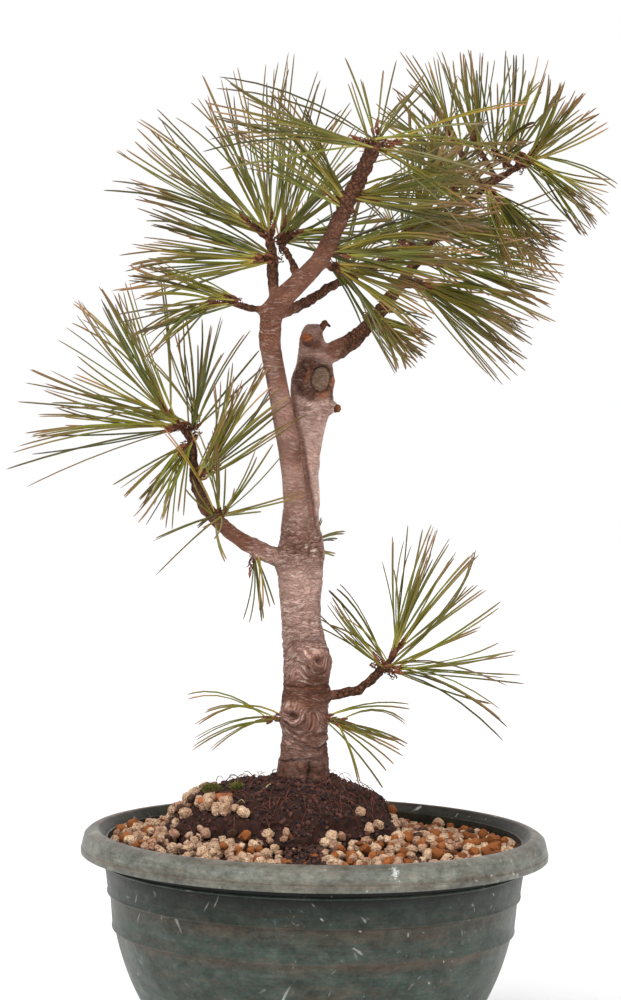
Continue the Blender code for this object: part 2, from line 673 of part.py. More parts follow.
def main():
    clear_scene()
    limbs = {name: limb_path(name) for name in LIMBS}
    roots = [root_path(i) for i in range(ROOT_COUNT)]
    buds, spurs = place_buds(limbs)

    add_pot()
    cutters = new_collection("soil_cutters")
    add_guide("trunk_cutter", tube(limbs["trunk"], GAP), cutters)
    for i, path in enumerate(roots):
        add_guide(f"root_cutter_{i}", tube(path, GAP), cutters)
    add_guide("bark_cutter", tube(bark_path(), GAP), cutters)
    for name, (x, y, radius) in MOSS.items():
        add_guide(f"{name}_cutter", moss_body(x, y, radius, GAP), cutters)
    add_gravel()
    add_root_ball(cutters)
    add_wood(limbs, roots, spurs)
    add_object("loose_bark", tube(bark_path()), "loose_bark")
    for name, (x, y, radius) in MOSS.items():
        add_object(name, moss_body(x, y, radius), "moss")

    obstacles = Obstacles()
    for path in list(limbs.values()) + roots + spurs:
        for (a, ra), (b, rb) in zip(path, path[1:]):
            obstacles.add(a, b, ra, rb, -1)
    for owner, bud in enumerate(buds.values()):
        obstacles.add(bud, bud + Vector((0, 0, 1e-6)), BUD_RADIUS, BUD_RADIUS, owner)
    for owner, (name, (_, _, aim, length, opening)) in enumerate(TUFTS.items()):
        reach = length * MM * NEEDLE_REACH
        add_tuft(f"needles_{name}", buds[name], aim, reach, math.radians(opening), owner, obstacles)


main()
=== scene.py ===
"""The looks of a young black pine bonsai in a round plastic bowl pot."""

import math
import random

import bpy
import numpy as np
from bpy.props import FloatProperty, FloatVectorProperty, IntProperty, PointerProperty
from mathutils import Euler, Matrix, Vector
from mathutils.bvhtree import BVHTree


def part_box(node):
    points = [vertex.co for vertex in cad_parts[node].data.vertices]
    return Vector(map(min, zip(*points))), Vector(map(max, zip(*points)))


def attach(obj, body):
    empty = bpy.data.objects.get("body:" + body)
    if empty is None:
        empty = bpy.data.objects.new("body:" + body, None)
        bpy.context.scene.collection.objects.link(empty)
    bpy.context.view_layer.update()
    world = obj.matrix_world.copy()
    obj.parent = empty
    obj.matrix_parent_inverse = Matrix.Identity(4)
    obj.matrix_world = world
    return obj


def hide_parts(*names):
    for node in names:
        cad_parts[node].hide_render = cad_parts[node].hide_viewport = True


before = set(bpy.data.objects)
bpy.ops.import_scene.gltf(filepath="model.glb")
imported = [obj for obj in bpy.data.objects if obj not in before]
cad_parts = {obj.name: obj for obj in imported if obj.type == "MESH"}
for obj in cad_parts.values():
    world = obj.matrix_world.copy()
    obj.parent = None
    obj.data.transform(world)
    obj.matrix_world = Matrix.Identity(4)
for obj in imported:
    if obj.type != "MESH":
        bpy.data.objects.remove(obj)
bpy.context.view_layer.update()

bl_info = {
    "name": "Pine Bonsai in a Bowl Pot",
    "version": (1, 0, 0),
    "blender": (4, 5, 0),
    "location": "3D View > Sidebar > Bonsai",
    "description": "Models a potted pine bonsai around its packed frame",
    "category": "Add Mesh",
}

MM = 0.001
UP = Vector((0, 0, 1))


def tint(red, green, blue):
    """A colour from 0-255 display values, as the linear values that shaders use."""
    return tuple((c / 12.92 if c <= 0.04045 else ((c + 0.055) / 1.055) ** 2.4)
                 for c in (red / 255, green / 255, blue / 255))


def shade(colour, share, cast=(1, 1, 1)):
    """A colour made darker or lighter, with a cast."""
    return tuple(min(1, share * c * w) for c, w in zip(colour, cast))


def length(name, words, default):
    return FloatProperty(name=name, description=words, default=default, unit="LENGTH", precision=4)


def colour(name, words, *display):
    return FloatVectorProperty(name=name, description=words, default=tint(*display),
                               subtype="COLOR", min=0, max=1)


class BonsaiPotSettings(bpy.types.PropertyGroup):
    sides: IntProperty(name="Sides", description="Segments around the turned pot", default=168)
    rim_drop: length("Rim drop", "Height of the turned-down lip", 0.0156)
    crest_swell: length("Crest swell", "How far the crest stands above the frame's", 0.0016)
    rim_lip: length("Rim lip", "Thickness of the lip's lower edge", 0.0024)
    rim_overhang: length("Rim overhang", "From the lip's outer side in to the neck", 0.0146)
    wall: length("Wall", "Thickness of the wall", 0.0025)
    floor: length("Floor", "Thickness of the floor", 0.004)
    foot_radius: length("Foot radius", "Outer radius of the foot", 0.078)
    foot_height: length("Foot height", "Height of the upright foot", 0.011)
    upper_step: length("Upper step", "Depth of the upper step below the crest", 0.040)
    lower_step: length("Lower step", "Depth of the lower step below the crest", 0.0624)
    wall_colour: colour("Wall colour", "Plastic of the wall", 64, 78, 71)
    rim_colour: colour("Rim colour", "Sun-bleached plastic of the rim", 122, 125, 116)
    stain_colour: colour("Lime colour", "Lime marks and scratches", 214, 214, 208)
    dirt_colour: colour("Dirt colour", "Dirt in the ridges", 98, 76, 62)


class BonsaiSoilSettings(bpy.types.PropertyGroup):
    bed_sink: length("Bed sink", "How far the bed lies under the top of the grit", 0.0055)
    grain_small: length("Smallest grain", "Diameter of the smallest grain", 0.0050)
    grain_large: length("Largest grain", "Diameter of the largest grain", 0.0100)
    grain_count: IntProperty(name="Grains", description="Grains dropped on the bed", default=2100)
    crumb_count: IntProperty(name="Crumbs", description="Crumbs of peat on the mound", default=3900)
    pumice_colour: colour("Pumice", "Cream grains", 250, 196, 162)
    clay_colour: colour("Fired clay", "Orange-brown grains", 156, 94, 50)
    peat_colour: colour("Peat", "Damp peat", 58, 31, 23)
    root_colour: colour("Rootlets", "Dry fine roots", 128, 66, 46)
    pale_root_colour: colour("Live rootlets", "Pale fine roots", 214, 190, 138)
    moss_colour: colour("Moss", "Short olive moss", 118, 116, 50)


class BonsaiWoodSettings(bpy.types.PropertyGroup):
    voxel: length("Voxel", "Edge of the remesh that joins the limbs", 0.0010)
    trunk_colour: colour("Trunk bark", "Pale smooth bark of the trunk", 240, 200, 187)
    brown_colour: colour("Brown bark", "Browner bark of the leader and the base", 146, 99, 79)
    fold_colour: colour("Bark folds", "Brown in the folds of the bark", 134, 76, 52)
    twig_colour: colour("Twig bark", "Scaly bark of the twigs", 112, 72, 50)
    wound_colour: colour("Old wound", "Grey wood of the old pruning wound", 128, 104, 78)
    callus_colour: colour("Callus", "Orange resin and callus", 196, 112, 60)


class BonsaiNeedleSettings(bpy.types.PropertyGroup):
    width: length("Needle width", "Width of one needle", 0.00130)
    sheath: length("Sheath", "Length of the brown sheath at a pair's foot", 0.0040)
    shoot: length("Leafy shoot", "Length of the shoot that carries needles", 0.018)
    foot_colour: colour("Needle foot", "Yellow-green foot of a needle", 174, 166, 78)
    leaf_colour: colour("Needle", "Green of a needle", 112, 110, 32)
    tip_colour: colour("Needle tip", "Browner tip of a needle", 132, 101, 72)
    bud_colour: colour("Bud scales", "Papery scales of the buds", 150, 88, 56)


class BonsaiStageSettings(bpy.types.PropertyGroup):
    camera_distance: length("Camera distance", "From the trunk to the camera", 1.918)
    camera_height: length("Camera height", "Of the lens above the floor", 0.452)
    ambient: FloatProperty(name="Ambient", description="Brightness of the studio", default=0.38)
    key_power: FloatProperty(name="Key light", description="Strength of the soft sun", default=2.7)
    fill_power: FloatProperty(name="Fill light", description="Power of the side lamp in watts", default=14)
    lens: FloatProperty(name="Lens", description="Focal length in millimetres", default=108)
    floor_colour: colour("Floor", "Plain pale floor", 250, 250, 250)


SETTINGS = {
    "bonsai_pot": BonsaiPotSettings, "bonsai_soil": BonsaiSoilSettings,
    "bonsai_wood": BonsaiWoodSettings, "bonsai_needles": BonsaiNeedleSettings,
    "bonsai_stage": BonsaiStageSettings,
}


# --- materials ---


class Nodes:
    """A node tree under construction: each call adds a node and returns an output of it."""

    def __init__(self, tree):
        self.tree = tree

    def add(self, kind, out=0, settings=(), **inputs):
        node = self.tree.nodes.new("ShaderNode" + kind)
        for key, value in dict(settings).items():
            setattr(node, key, value)
        for key, value in inputs.items():
            socket = node.inputs[int(key[1:])] if key[1:].isdigit() else node.inputs[key.replace("_", " ")]
            self.put(value, socket)
        return node.outputs[out]

    def put(self, value, socket):
        if isinstance(value, bpy.types.NodeSocket):
            self.tree.links.new(value, socket)
        elif socket.type == "RGBA" and len(value) == 3:
            socket.default_value = (*value, 1)
        else:
            socket.default_value = value

    def math(self, operation, a, b=0.0):
        return self.add("Math", settings={"operation": operation}, _0=a, _1=b)

    def between(self, value, low, high, start=0.0, end=1.0):
        return self.add("MapRange", Value=value, From_Min=low, From_Max=high, To_Min=start, To_Max=end)


class Finish(Nodes):
    """A material under construction, with constants set on its shader's own sockets."""

    def __init__(self, name, roughness=0.8, **constants):
        self.material = bpy.data.materials.new(name)
        self.material.use_nodes = True
        super().__init__(self.material.node_tree)
        self.shader = self.tree.nodes["Principled BSDF"]
        for socket, value in {"Roughness": roughness, **constants}.items():
            self.shader.inputs[socket.replace("_", " ")].default_value = value

    def place(self, scale=(1, 1, 1), turn=(0, 0, 0), kind="POINT"):
        """Object coordinates, scaled and turned."""
        where = self.add("TexCoord", out=3)
        return self.add("Mapping", settings={"vector_type": kind}, Vector=where, Scale=scale, Rotation=turn)

    def attribute(self, name):
        return self.add("Attribute", out=2, settings={"attribute_name": name})

    def noise(self, vector, scale, detail=4, rough=0.6):
        return self.add("TexNoise", Vector=vector, Scale=scale, Detail=detail, Roughness=rough)

    def cells(self, vector, scale, feature="F1"):
        return self.add("TexVoronoi", settings={"feature": feature}, Vector=vector, Scale=scale)

    def mix(self, share, a, b, blend="MIX"):
        return self.add("Mix", out=2, settings={"data_type": "RGBA", "blend_type": blend},
                        _0=share, _6=a, _7=b)

    def times(self, a, b):
        return self.math("MULTIPLY", a, b)

    def wash(self, share, base, cast):
        """A share of the base colour multiplied by a cast."""
        return self.mix(share, base, self.mix(1.0, base, cast, "MULTIPLY"))

    def blend(self, source, low, high, a, b, most=1.0):
        """From a to b as a source goes from low to high."""
        return self.mix(self.between(source, low, high, 0, most), a, b)

    def bump(self, height, depth, strength=1.0):
        normal = self.shader.inputs["Normal"]
        under = normal.links[0].from_socket if normal.links else None
        made = self.add("Bump", Strength=strength, Distance=depth, Height=height)
        if under:
            self.tree.links.new(under, made.node.inputs["Normal"])
        self.tree.links.new(made, normal)

    def done(self, base, rough=None):
        self.put(base, self.shader.inputs["Base Color"])
        if rough is not None:
            self.put(rough, self.shader.inputs["Roughness"])
        return self.material


STROKES = (  # tilt, lean, turn and stretch of each direction of scratches
    (0.55, 0.1, 0.5, 26), (-0.65, 0.5, 1.9, 24), (0.95, 1.2, 0.3, 22), (0.2, -0.9, 2.6, 18),
    (-0.4, 0.2, 1.2, 30))


def plastic_finish(s, rim_line):
    """Weathered plastic: bleached on the rim, dirty in its ridges, scratched and lime-marked, with painted
    shade under the lip and inside the bowl and painted highlight lines along the steps.
    """
    f = Finish("weathered_plastic", 0.46, Specular_IOR_Level=0.22)
    here = f.place()
    height = f.add("SeparateXYZ", out=2, Vector=here)
    cloud = f.noise(here, 22, 5, 0.65)
    fine = f.noise(here, 300, 4, 0.7)
    base = f.blend(height, rim_line - 0.003, rim_line + 0.0005, s.wall_colour, s.rim_colour)
    streaks = f.noise(f.place((0.5, 0.5, 9)), 60, 5, 0.65)
    base = f.wash(f.between(streaks, 0.50, 0.66, 0, 0.55), base, (0.62, 0.58, 0.54))
    base = f.wash(f.between(streaks, 0.46, 0.34, 0, 0.5), base, (1.40, 1.36, 1.32))
    base = f.wash(f.between(cloud, 0.35, 0.7, 0, 0.8), base, (0.55, 0.60, 0.60))
    base = f.blend(fine, 0.42, 0.75, base, s.dirt_colour, 0.35)
    base = f.blend(f.noise(f.place((1, 1, 6)), 30, 5, 0.7), 0.52, 0.72, base, s.dirt_colour, 0.5)
    # Dust: dirt on the crest and the inner ledge, and painted highlight lines on the steps and the rim's
    # bead.
    dust = f.times(f.attribute("dust"), f.between(cloud, 0.25, 0.6, 0.35, 1))
    base = f.mix(dust, base, s.dirt_colour)
    blotch = f.noise(f.place((1, 1, 1.5)), 75, 8, 0.8)
    base = f.wash(f.between(blotch, 0.48, 0.62, 0, 0.9), base, (0.50, 0.48, 0.44))
    base = f.wash(f.between(blotch, 0.48, 0.34, 0, 0.8), base, (1.7, 1.62, 1.55))
    # Painted shade: faces inside the bowl and the inner edge of its top are darkened.
    base = f.wash(f.attribute("inside"), base, (0.22, 0.24, 0.20))
    # Painted shade: the wall just under the rim's lip is darkened almost to black.
    base = f.wash(f.attribute("under"), base, (0.04, 0.035, 0.035))
    ragged = f.noise(f.place((1, 1, 1.6)), 170, 6, 0.85)
    marks = f.between(f.math("ADD", ragged, f.times(f.attribute("splash"), 0.34)), 0.72, 0.80)
    for k, (tilt, lean, turn, stretch) in enumerate(STROKES):
        line = f.noise(f.place((1, 1, stretch), (tilt, lean, turn), "TEXTURE"), 330 - 30 * k, 2, 0.4)
        patch = f.noise(f.place((1, 1, 1), (turn, tilt, lean)), 26, 3)
        stroke = f.times(f.between(line, 0.69, 0.75), f.between(patch, 0.53, 0.62, 0, 0.6))
        marks = f.math("MAXIMUM", marks, stroke)
    spots = f.between(f.cells(here, 210), 0.10, 0.05)
    spots = f.times(spots, f.between(f.noise(here, 30, 3), 0.56, 0.62))
    marks = f.math("MAXIMUM", marks, f.times(spots, 0.3))
    lime = f.times(f.between(f.noise(here, 95, 6, 0.8), 0.66, 0.76),
                  f.between(f.noise(here, 14, 2), 0.50, 0.62, 0, 0.6))
    marks = f.math("MAXIMUM", marks, lime)
    base = f.mix(f.times(marks, 0.85), base, s.stain_colour)
    f.bump(fine, 0.00022, 0.8)
    f.bump(blotch, 0.0012, 0.6)
    rough = f.between(cloud, 0.3, 0.75, 0.28, 0.50)
    return f.done(base, f.math("ADD", rough, f.times(marks, 0.3)))


def grain_finish(name, base_colour, speck_colour, speck_scale, speck_edge, pit):
    """A mineral grain: its own tone, dark specks, soil dust and pitted faces."""
    f = Finish(name, 0.92, Specular_IOR_Level=0.22)
    here = f.place()
    tone = f.attribute("tone")
    base = f.mix(tone, shade(base_colour, 0.62), shade(base_colour, 1.3))
    mottle = f.noise(here, 420, 5, 0.7)
    soiled = f.noise(here, 130, 3, 0.6)
    brown = shade(base_colour, 0.30, (1.25, 0.85, 0.60))
    base = f.blend(soiled, 0.46, 0.68, base, brown, 0.6)
    base = f.blend(mottle, 0.42, 0.68, base, shade(base_colour, 0.42), 0.55)
    specks = f.between(f.cells(here, speck_scale), speck_edge, speck_edge * 0.55)
    some = f.between(f.noise(here, speck_scale * 0.4, 2), 0.42, 0.56)
    base = f.mix(f.times(f.times(specks, some), 0.9), base, speck_colour)
    f.bump(mottle, pit)
    f.bump(f.cells(here, speck_scale * 0.8), pit * 0.8, 0.8)
    return f.done(base)


def peat_finish(s, name="damp_peat"):
    f = Finish(name, 0.9, Specular_IOR_Level=0.3)
    here = f.place()
    lumps = f.noise(here, 260, 6, 0.75)
    fibres = f.noise(f.place((1, 1, 0.4)), 700, 4, 0.8)
    base = f.blend(lumps, 0.35, 0.7, shade(s.peat_colour, 0.35), shade(s.peat_colour, 1.5))
    base = f.blend(fibres, 0.58, 0.75, base, shade(s.root_colour, 0.6), 0.7)
    f.bump(lumps, 0.0012)
    f.bump(fibres, 0.0004)
    return f.done(base, f.between(lumps, 0.3, 0.7, 0.65, 1.0))


def bark_finish(s):
    """Bark that goes from smooth and folded on the trunk to brown and scaly on the twigs."""
    f = Finish("pine_bark", 0.82, Specular_IOR_Level=0.28)
    here = f.place()
    scaly = f.attribute("scaly")
    fold = f.attribute("fold")
    across, deep = (f.times(f.add("SeparateXYZ", out=axis, Vector=here), 0.22) for axis in (0, 1))
    skin = f.add("CombineXYZ", X=across, Y=deep, Z=f.attribute("ring"))
    lines = f.noise(skin, 860, 3, 0.6)
    broad = f.noise(skin, 260, 4, 0.6)
    wisp = f.noise(skin, 790, 2, 0.5)
    grain = f.noise(here, 800, 4, 0.7)
    patches = f.noise(here, 48, 5, 0.65)
    shadow = shade(s.trunk_colour, 0.66, (1.04, 0.98, 0.94))
    base = f.blend(patches, 0.40, 0.62, s.trunk_colour, shadow, 0.6)
    brown = f.blend(patches, 0.42, 0.6, s.brown_colour, shade(s.brown_colour, 0.66))
    base = f.mix(f.attribute("warm"), base, brown)
    base = f.blend(grain, 0.45, 0.75, base, s.fold_colour, 0.22)
    edge = f.math("ABSOLUTE", f.math("SUBTRACT", lines, 0.5))
    crease = f.times(f.between(edge, 0.040, 0.0), f.between(fold, 0, 1, 0.42, 0.95))
    base = f.mix(crease, base, s.fold_colour)
    # Painted highlight: the raised ridges of the folded bark are made paler, less so on the browner bark.
    ridge_highlight = f.times(f.between(wisp, 0.57, 0.68), f.between(fold, 0, 1, 0.30, 0.85))
    ridge_highlight = f.times(ridge_highlight, f.between(f.attribute("warm"), 0.3, 1, 1, 0.55))
    base = f.mix(ridge_highlight, base, shade(s.trunk_colour, 1.45))
    plates = f.cells(here, 330)
    edges = f.between(f.cells(here, 330, "DISTANCE_TO_EDGE"), 0.14, 0.0)
    twig = f.blend(f.noise(here, 380, 3), 0.35, 0.65, shade(s.twig_colour, 0.45), shade(s.twig_colour, 1.6))
    twig = f.mix(f.times(edges, 0.85), twig, shade(s.twig_colour, 0.2))
    base = f.mix(scaly, base, twig)
    clods = f.noise(here, 330, 5, 0.7)
    earth = f.blend(clods, 0.42, 0.62, shade(s.fold_colour, 0.30), shade(s.brown_colour, 0.85))
    grey = f.blend(f.noise(here, 500, 4), 0.4, 0.7, s.wound_colour, shade(s.wound_colour, 0.5))
    resin = f.blend(broad, 0.4, 0.62, s.callus_colour, shade(s.callus_colour, 0.35))
    # The dark layer is painted shade: near-black in the cracks, clefts, pits, knot hearts, the stub's groove
    # and the wound's gap, and also on a strip right of the wound.
    for name, layer in (("soiled", earth), ("crease", shade(s.fold_colour, 0.55)),
                        ("dark", shade(s.twig_colour, 0.10)), ("old_wood", grey), ("callus", resin)):
        base = f.mix(f.attribute(name), base, layer)
    f.bump(f.times(broad, f.between(fold, 0, 1, 0.6, 1.0)), 0.0044, 0.9)
    f.bump(f.times(f.between(edge, 0.0, 0.09), f.between(fold, 0, 1, 0.4, 1.0)), 0.0012, 0.9)
    f.bump(f.times(f.math("SUBTRACT", plates, edges), scaly), 0.0011, 0.9)
    f.bump(f.times(wisp, f.between(fold, 0, 1, 0.35, 1.0)), 0.0024, 0.7)
    f.bump(grain, 0.0008, 0.8)
    return f.done(base, f.between(patches, 0.3, 0.7, 0.7, 0.9))


def needle_finish(s):
    f = Finish("pine_needle", 0.42, Specular_IOR_Level=0.5)
    along = f.attribute("along")
    tone = f.attribute("tone")
    base = f.blend(along, 0.01, 0.26, s.foot_colour, s.leaf_colour)
    base = f.blend(along, 0.60, 1.0, base, s.tip_colour)
    bright = f.mix(tone, (0.26, 0.30, 0.16), (1.70, 1.52, 1.55))
    base = f.mix(1.0, base, bright, "MULTIPLY")
    hue = f.math("FRACT", f.times(tone, 37.0))
    base = f.mix(1.0, base, f.mix(hue, (1.20, 0.97, 0.92), (0.78, 1.03, 0.80)), "MULTIPLY")
    blotch = f.noise(f.place(), 160, 3)
    base = f.blend(blotch, 0.55, 0.75, base, s.tip_colour, 0.4)
    return f.done(base, f.between(blotch, 0.3, 0.7, 0.36, 0.55))


def scale_finish(s):
    f = Finish("bud_scale", 0.75)
    base = f.mix(f.attribute("tone"), shade(s.bud_colour, 0.28), s.bud_colour)
    speckle = f.noise(f.place(), 900, 3)
    base = f.blend(speckle, 0.5, 0.8, base, shade(s.bud_colour, 0.4), 0.6)
    f.bump(speckle, 0.0002)
    return f.done(base)


def strand_finish(name, dark, light):
    f = Finish(name, 0.8)
    speckle = f.noise(f.place(), 500, 3)
    base = f.mix(f.attribute("tone"), dark, light)
    base = f.blend(speckle, 0.5, 0.8, base, shade(dark, 0.5), 0.5)
    return f.done(base)


# --- modelling helpers ---


def deselect():
    bpy.ops.object.select_all(action="DESELECT")


def only(obj):
    """Make an object the one that is selected and active."""
    deselect()
    obj.select_set(True)
    bpy.context.view_layer.objects.active = obj


def edit_all():
    """Go into edit mode with everything selected."""
    bpy.ops.object.mode_set(mode="EDIT")
    bpy.ops.mesh.select_all(action="SELECT")


def leave_edit(outwards=False):
    """Leave edit mode, and turn every face outwards first if asked."""
    if outwards:
        bpy.ops.mesh.select_all(action="SELECT")
        bpy.ops.mesh.normals_make_consistent(inside=False)
    bpy.ops.object.mode_set(mode="OBJECT")


def finish_piece(obj, name, material=None, replaces=(), smooth=35):
    obj.name = obj.data.name = name
    if material:
        obj.data.materials.clear()
        obj.data.materials.append(material)
    only(obj)
    if smooth:
        bpy.ops.object.shade_smooth_by_angle(angle=math.radians(smooth))
    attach(obj, "root")
    if replaces:
        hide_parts(*replaces)
    return obj


def new_object(name, mesh):
    obj = bpy.data.objects.new(name, mesh)
    bpy.context.scene.collection.objects.link(obj)
    return obj


def frame_copy(node, name):
    """A copy of a frame node's mesh with its loose triangles merged."""
    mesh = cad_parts[node].data.copy()
    mesh.materials.clear()
    obj = new_object(name, mesh)
    only(obj)
    edit_all()
    bpy.ops.mesh.customdata_custom_splitnormals_clear()
    bpy.ops.mesh.remove_doubles(threshold=0.00001)
    leave_edit()
    return obj


def remesh(obj, voxel):
    step = obj.modifiers.new("join", "REMESH")
    step.mode = "VOXEL"
    step.voxel_size = voxel
    only(obj)
    bpy.ops.object.modifier_apply(modifier=step.name)


def triples(items, key):
    flat = np.empty(len(items) * 3)
    items.foreach_get(key, flat)
    return flat.reshape(-1, 3)


def places(mesh):
    return triples(mesh.vertices, "co")


def directions(mesh):
    return triples(mesh.vertex_normals, "vector")


def set_places(mesh, points):
    mesh.vertices.foreach_set("co", np.ascontiguousarray(points).ravel())
    mesh.update()


def store(mesh, name, values):
    layer = mesh.attributes.new(name, "FLOAT", "POINT")
    layer.data.foreach_set("value", np.ascontiguousarray(values, dtype=np.float32))


def relax(mesh, points, rounds, weight):
    """Average each point with its neighbours, by its own weight."""
    edges = np.empty(len(mesh.edges) * 2, dtype=np.int64)
    mesh.edges.foreach_get("vertices", edges)
    a, b = edges[0::2], edges[1::2]
    count = np.bincount(np.concatenate((a, b)), minlength=len(points))
    flat = points.ndim == 1
    points = points[:, None] if flat else points
    size = len(points)
    for _ in range(rounds):
        total = np.stack([np.bincount(a, column[b], size) + np.bincount(b, column[a], size)
                          for column in points.T], axis=1)
        points = points + (total / count[:, None] - points) * weight[:, None]
    return points[:, 0] if flat else points


def noise(points, size, seed=0):
    """Smooth random values from -1 to 1 over space, with lumps about size across."""
    spot = np.asarray(points) / size
    cell = np.floor(spot).astype(np.int64)
    part = spot - cell
    part = part * part * (3 - 2 * part)
    total = np.zeros(len(spot))
    for corner in np.ndindex(2, 2, 2):
        k = cell + corner
        code = (k[:, 0] * 73856093) ^ (k[:, 1] * 19349663) ^ (k[:, 2] * 83492791) ^ (seed * 40503 + 977)
        code = ((code ^ (code >> 13)) * 1274126177) & 0xFFFFFFFF
        code = ((code ^ (code >> 16)) * 668265263) & 0xFFFFFFFF
        share = np.prod(np.where(np.array(corner), part, 1 - part), axis=1)
        total += share * (code / 0x7FFFFFFF - 1)
    return total


def smoothstep(values, low, high):
    """A smooth rise from 0 at low to 1 at high, or a fall where high is the smaller."""
    t = np.clip((values - low) / (high - low), 0, 1)
    return t * t * (3 - 2 * t)


def hump(values, width):
    """A bell curve, 1 where the values are 0."""
    return np.exp(-(values / width) ** 2)


class Copies:
    """One mesh gathered from many copies of small modelled shapes."""

    def __init__(self):
        self.points, self.faces, self.values, self.slots, self.count = [], [], {}, [], 0

    def add(self, points, faces, slot=0, **values):
        self.points.append(points)
        self.faces.extend([tuple(i + self.count for i in face) for face in faces])
        self.slots.extend([slot] * len(faces))
        for key, value in values.items():
            self.values.setdefault(key, []).append(np.broadcast_to(value, len(points)))
        self.count += len(points)

    def build(self, name):
        mesh = bpy.data.meshes.new(name)
        mesh.from_pydata(np.concatenate(self.points).tolist(), [], self.faces)
        for key, value in self.values.items():
            store(mesh, key, np.concatenate(value))
        mesh.polygons.foreach_set("material_index", self.slots)
        return new_object(name, mesh)


def template(obj):
    """The points and faces of a modelled shape, which is then removed."""
    points = places(obj.data)
    faces = [tuple(face.vertices) for face in obj.data.polygons]
    bpy.data.objects.remove(obj, do_unlink=True)
    return points, faces


def rod_template(sides, stations):
    """A rod of unit length up Z, modelled by extruding a ring through stations of (height, width)."""
    deselect()
    bpy.ops.mesh.primitive_circle_add(vertices=sides, radius=stations[0][1], fill_type="NGON",
                                      location=(0, 0, stations[0][0]))
    rod = bpy.context.object
    bpy.ops.object.transform_apply(location=True)
    edit_all()
    for (low, narrow), (high, wide) in zip(stations, stations[1:]):
        bpy.ops.mesh.extrude_region_move(TRANSFORM_OT_translate={"value": (0, 0, high - low)})
        bpy.ops.transform.resize(value=(wide / narrow, wide / narrow, 1), center_override=(0, 0, high))
    leave_edit(outwards=True)
    return template(rod)


def scatter(rng, reach=1):
    """A random step of up to reach along each axis."""
    return Vector([rng.uniform(-reach, reach) for _ in range(3)])


def bend_rod(points, start, middle, end, half_width, flatten, roll):
    """Lay a unit rod along a curve through a start, a pull point and an end."""
    t = points[:, 2:3]
    start, middle, end = (np.array(p) for p in (start, middle, end))
    line = start * (1 - t) ** 2 + 2 * middle * t * (1 - t) + end * t ** 2
    way = 2 * (middle - start) * (1 - t) + 2 * (end - middle) * t
    way /= np.linalg.norm(way, axis=1)[:, None]
    side = np.cross(way, np.array((math.cos(roll), math.sin(roll), 0.35)))
    side /= np.linalg.norm(side, axis=1)[:, None]
    lift = np.cross(way, side)
    return line + side * points[:, 0:1] * half_width + lift * points[:, 1:2] * half_width * flatten


# --- pot ---


def pot_profile(s):
    """The pot's section from the foot, up the outside, over the rim and down the inside."""
    low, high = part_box("pot")
    rim, crest = (high.x - low.x) / 2, high.z + s.crest_swell
    neck = rim - s.rim_overhang
    upper, lower = high.z - s.upper_step, high.z - s.lower_step
    bowl_low, bowl_rise = s.foot_height + 0.0015, 0.130

    def rise(height):
        return math.sqrt(max(0, 1 - (1 - height / bowl_rise) ** 2))

    def bowl(height):
        start, end = s.foot_radius + 0.0022, neck - 0.0079
        return start + (end - start) * (rise(height) - rise(bowl_low)) / (rise(lower) - rise(bowl_low))

    def near(radius, height, *steps):
        """Points at steps, in millimetres, from a radius and a height."""
        return [(radius + across * MM, height + up * MM) for across, up in steps]

    lip, inner_neck, foot = crest - s.rim_drop, neck - s.wall, s.foot_radius
    heights = [bowl_low + (lower - bowl_low) * i / 15 for i in range(16)]
    outside = near(foot, 0, (-1.5, 0), (-0.4, 0.5), (0, 1.6))
    outside += near(foot, s.foot_height, (0, -1), (0.6, 0))
    outside += [(bowl(height), height) for height in heights]
    outside += near(neck, lower, (-7.7, 0.2), (-6.0, 0.9), (-5.8, 1.9), (-6.2, 3.2))
    outside += near(neck, (lower + upper) / 2, (-5.5, 0))
    outside += near(neck, upper, (-4.6, -0.6), (-4.5, 0.1), (-2.7, 0.9), (-2.4, 1.9), (-2.9, 3.3))
    outside += near(neck, (upper + lip) / 2, (-1.6, 0))
    rim_part = near(neck, lip, (-0.9, -9), (-0.6, -7), (0.5, -6.4), (0.8, -5.8), (0.4, -5.2), (-0.2, -4.6),
                    (0, -3.2), (0.2, -1.8), (1.4, -1), (1.6, -0.3), (1.2, 0.6), (0.7, 1.3))
    rim_part += near(neck, crest, (1, -5)) + near(rim - s.rim_lip, crest, (-1, -5))
    rim_part += near(rim - s.rim_lip, lip, (0, 0.4), (0.5, 0))
    rim_part += near(rim, lip, (-0.5, 0), (0, 0.5), (0, 3.5), (-0.7, 4.3), (-0.6, 5.2), (-0.9, 6.8))
    rim_part += near(rim, crest, (-2.2, -3.7), (-4.2, -1.9), (-6.6, -0.6), (-8.8, -0.1), (-10.4, 0),
                     (-11.8, -0.5), (-12.6, -1.3))
    inside = near(inner_neck, crest, (1.4, -4.6), (1.2, -5.2), (-0.2, -5.6))
    for height, *step in ((lip, -0.6, -3), (upper, -2.9, 0), (lower, -6.4, 0)):
        inside += near(inner_neck, height, step)
    inside += [(bowl(height) - s.wall, height + s.wall * (1 - k / 7))
               for k, height in enumerate(heights[::-2])]
    inside += [(foot - s.wall, s.foot_height + s.wall), (foot - s.wall, s.floor)]
    return outside + rim_part + inside


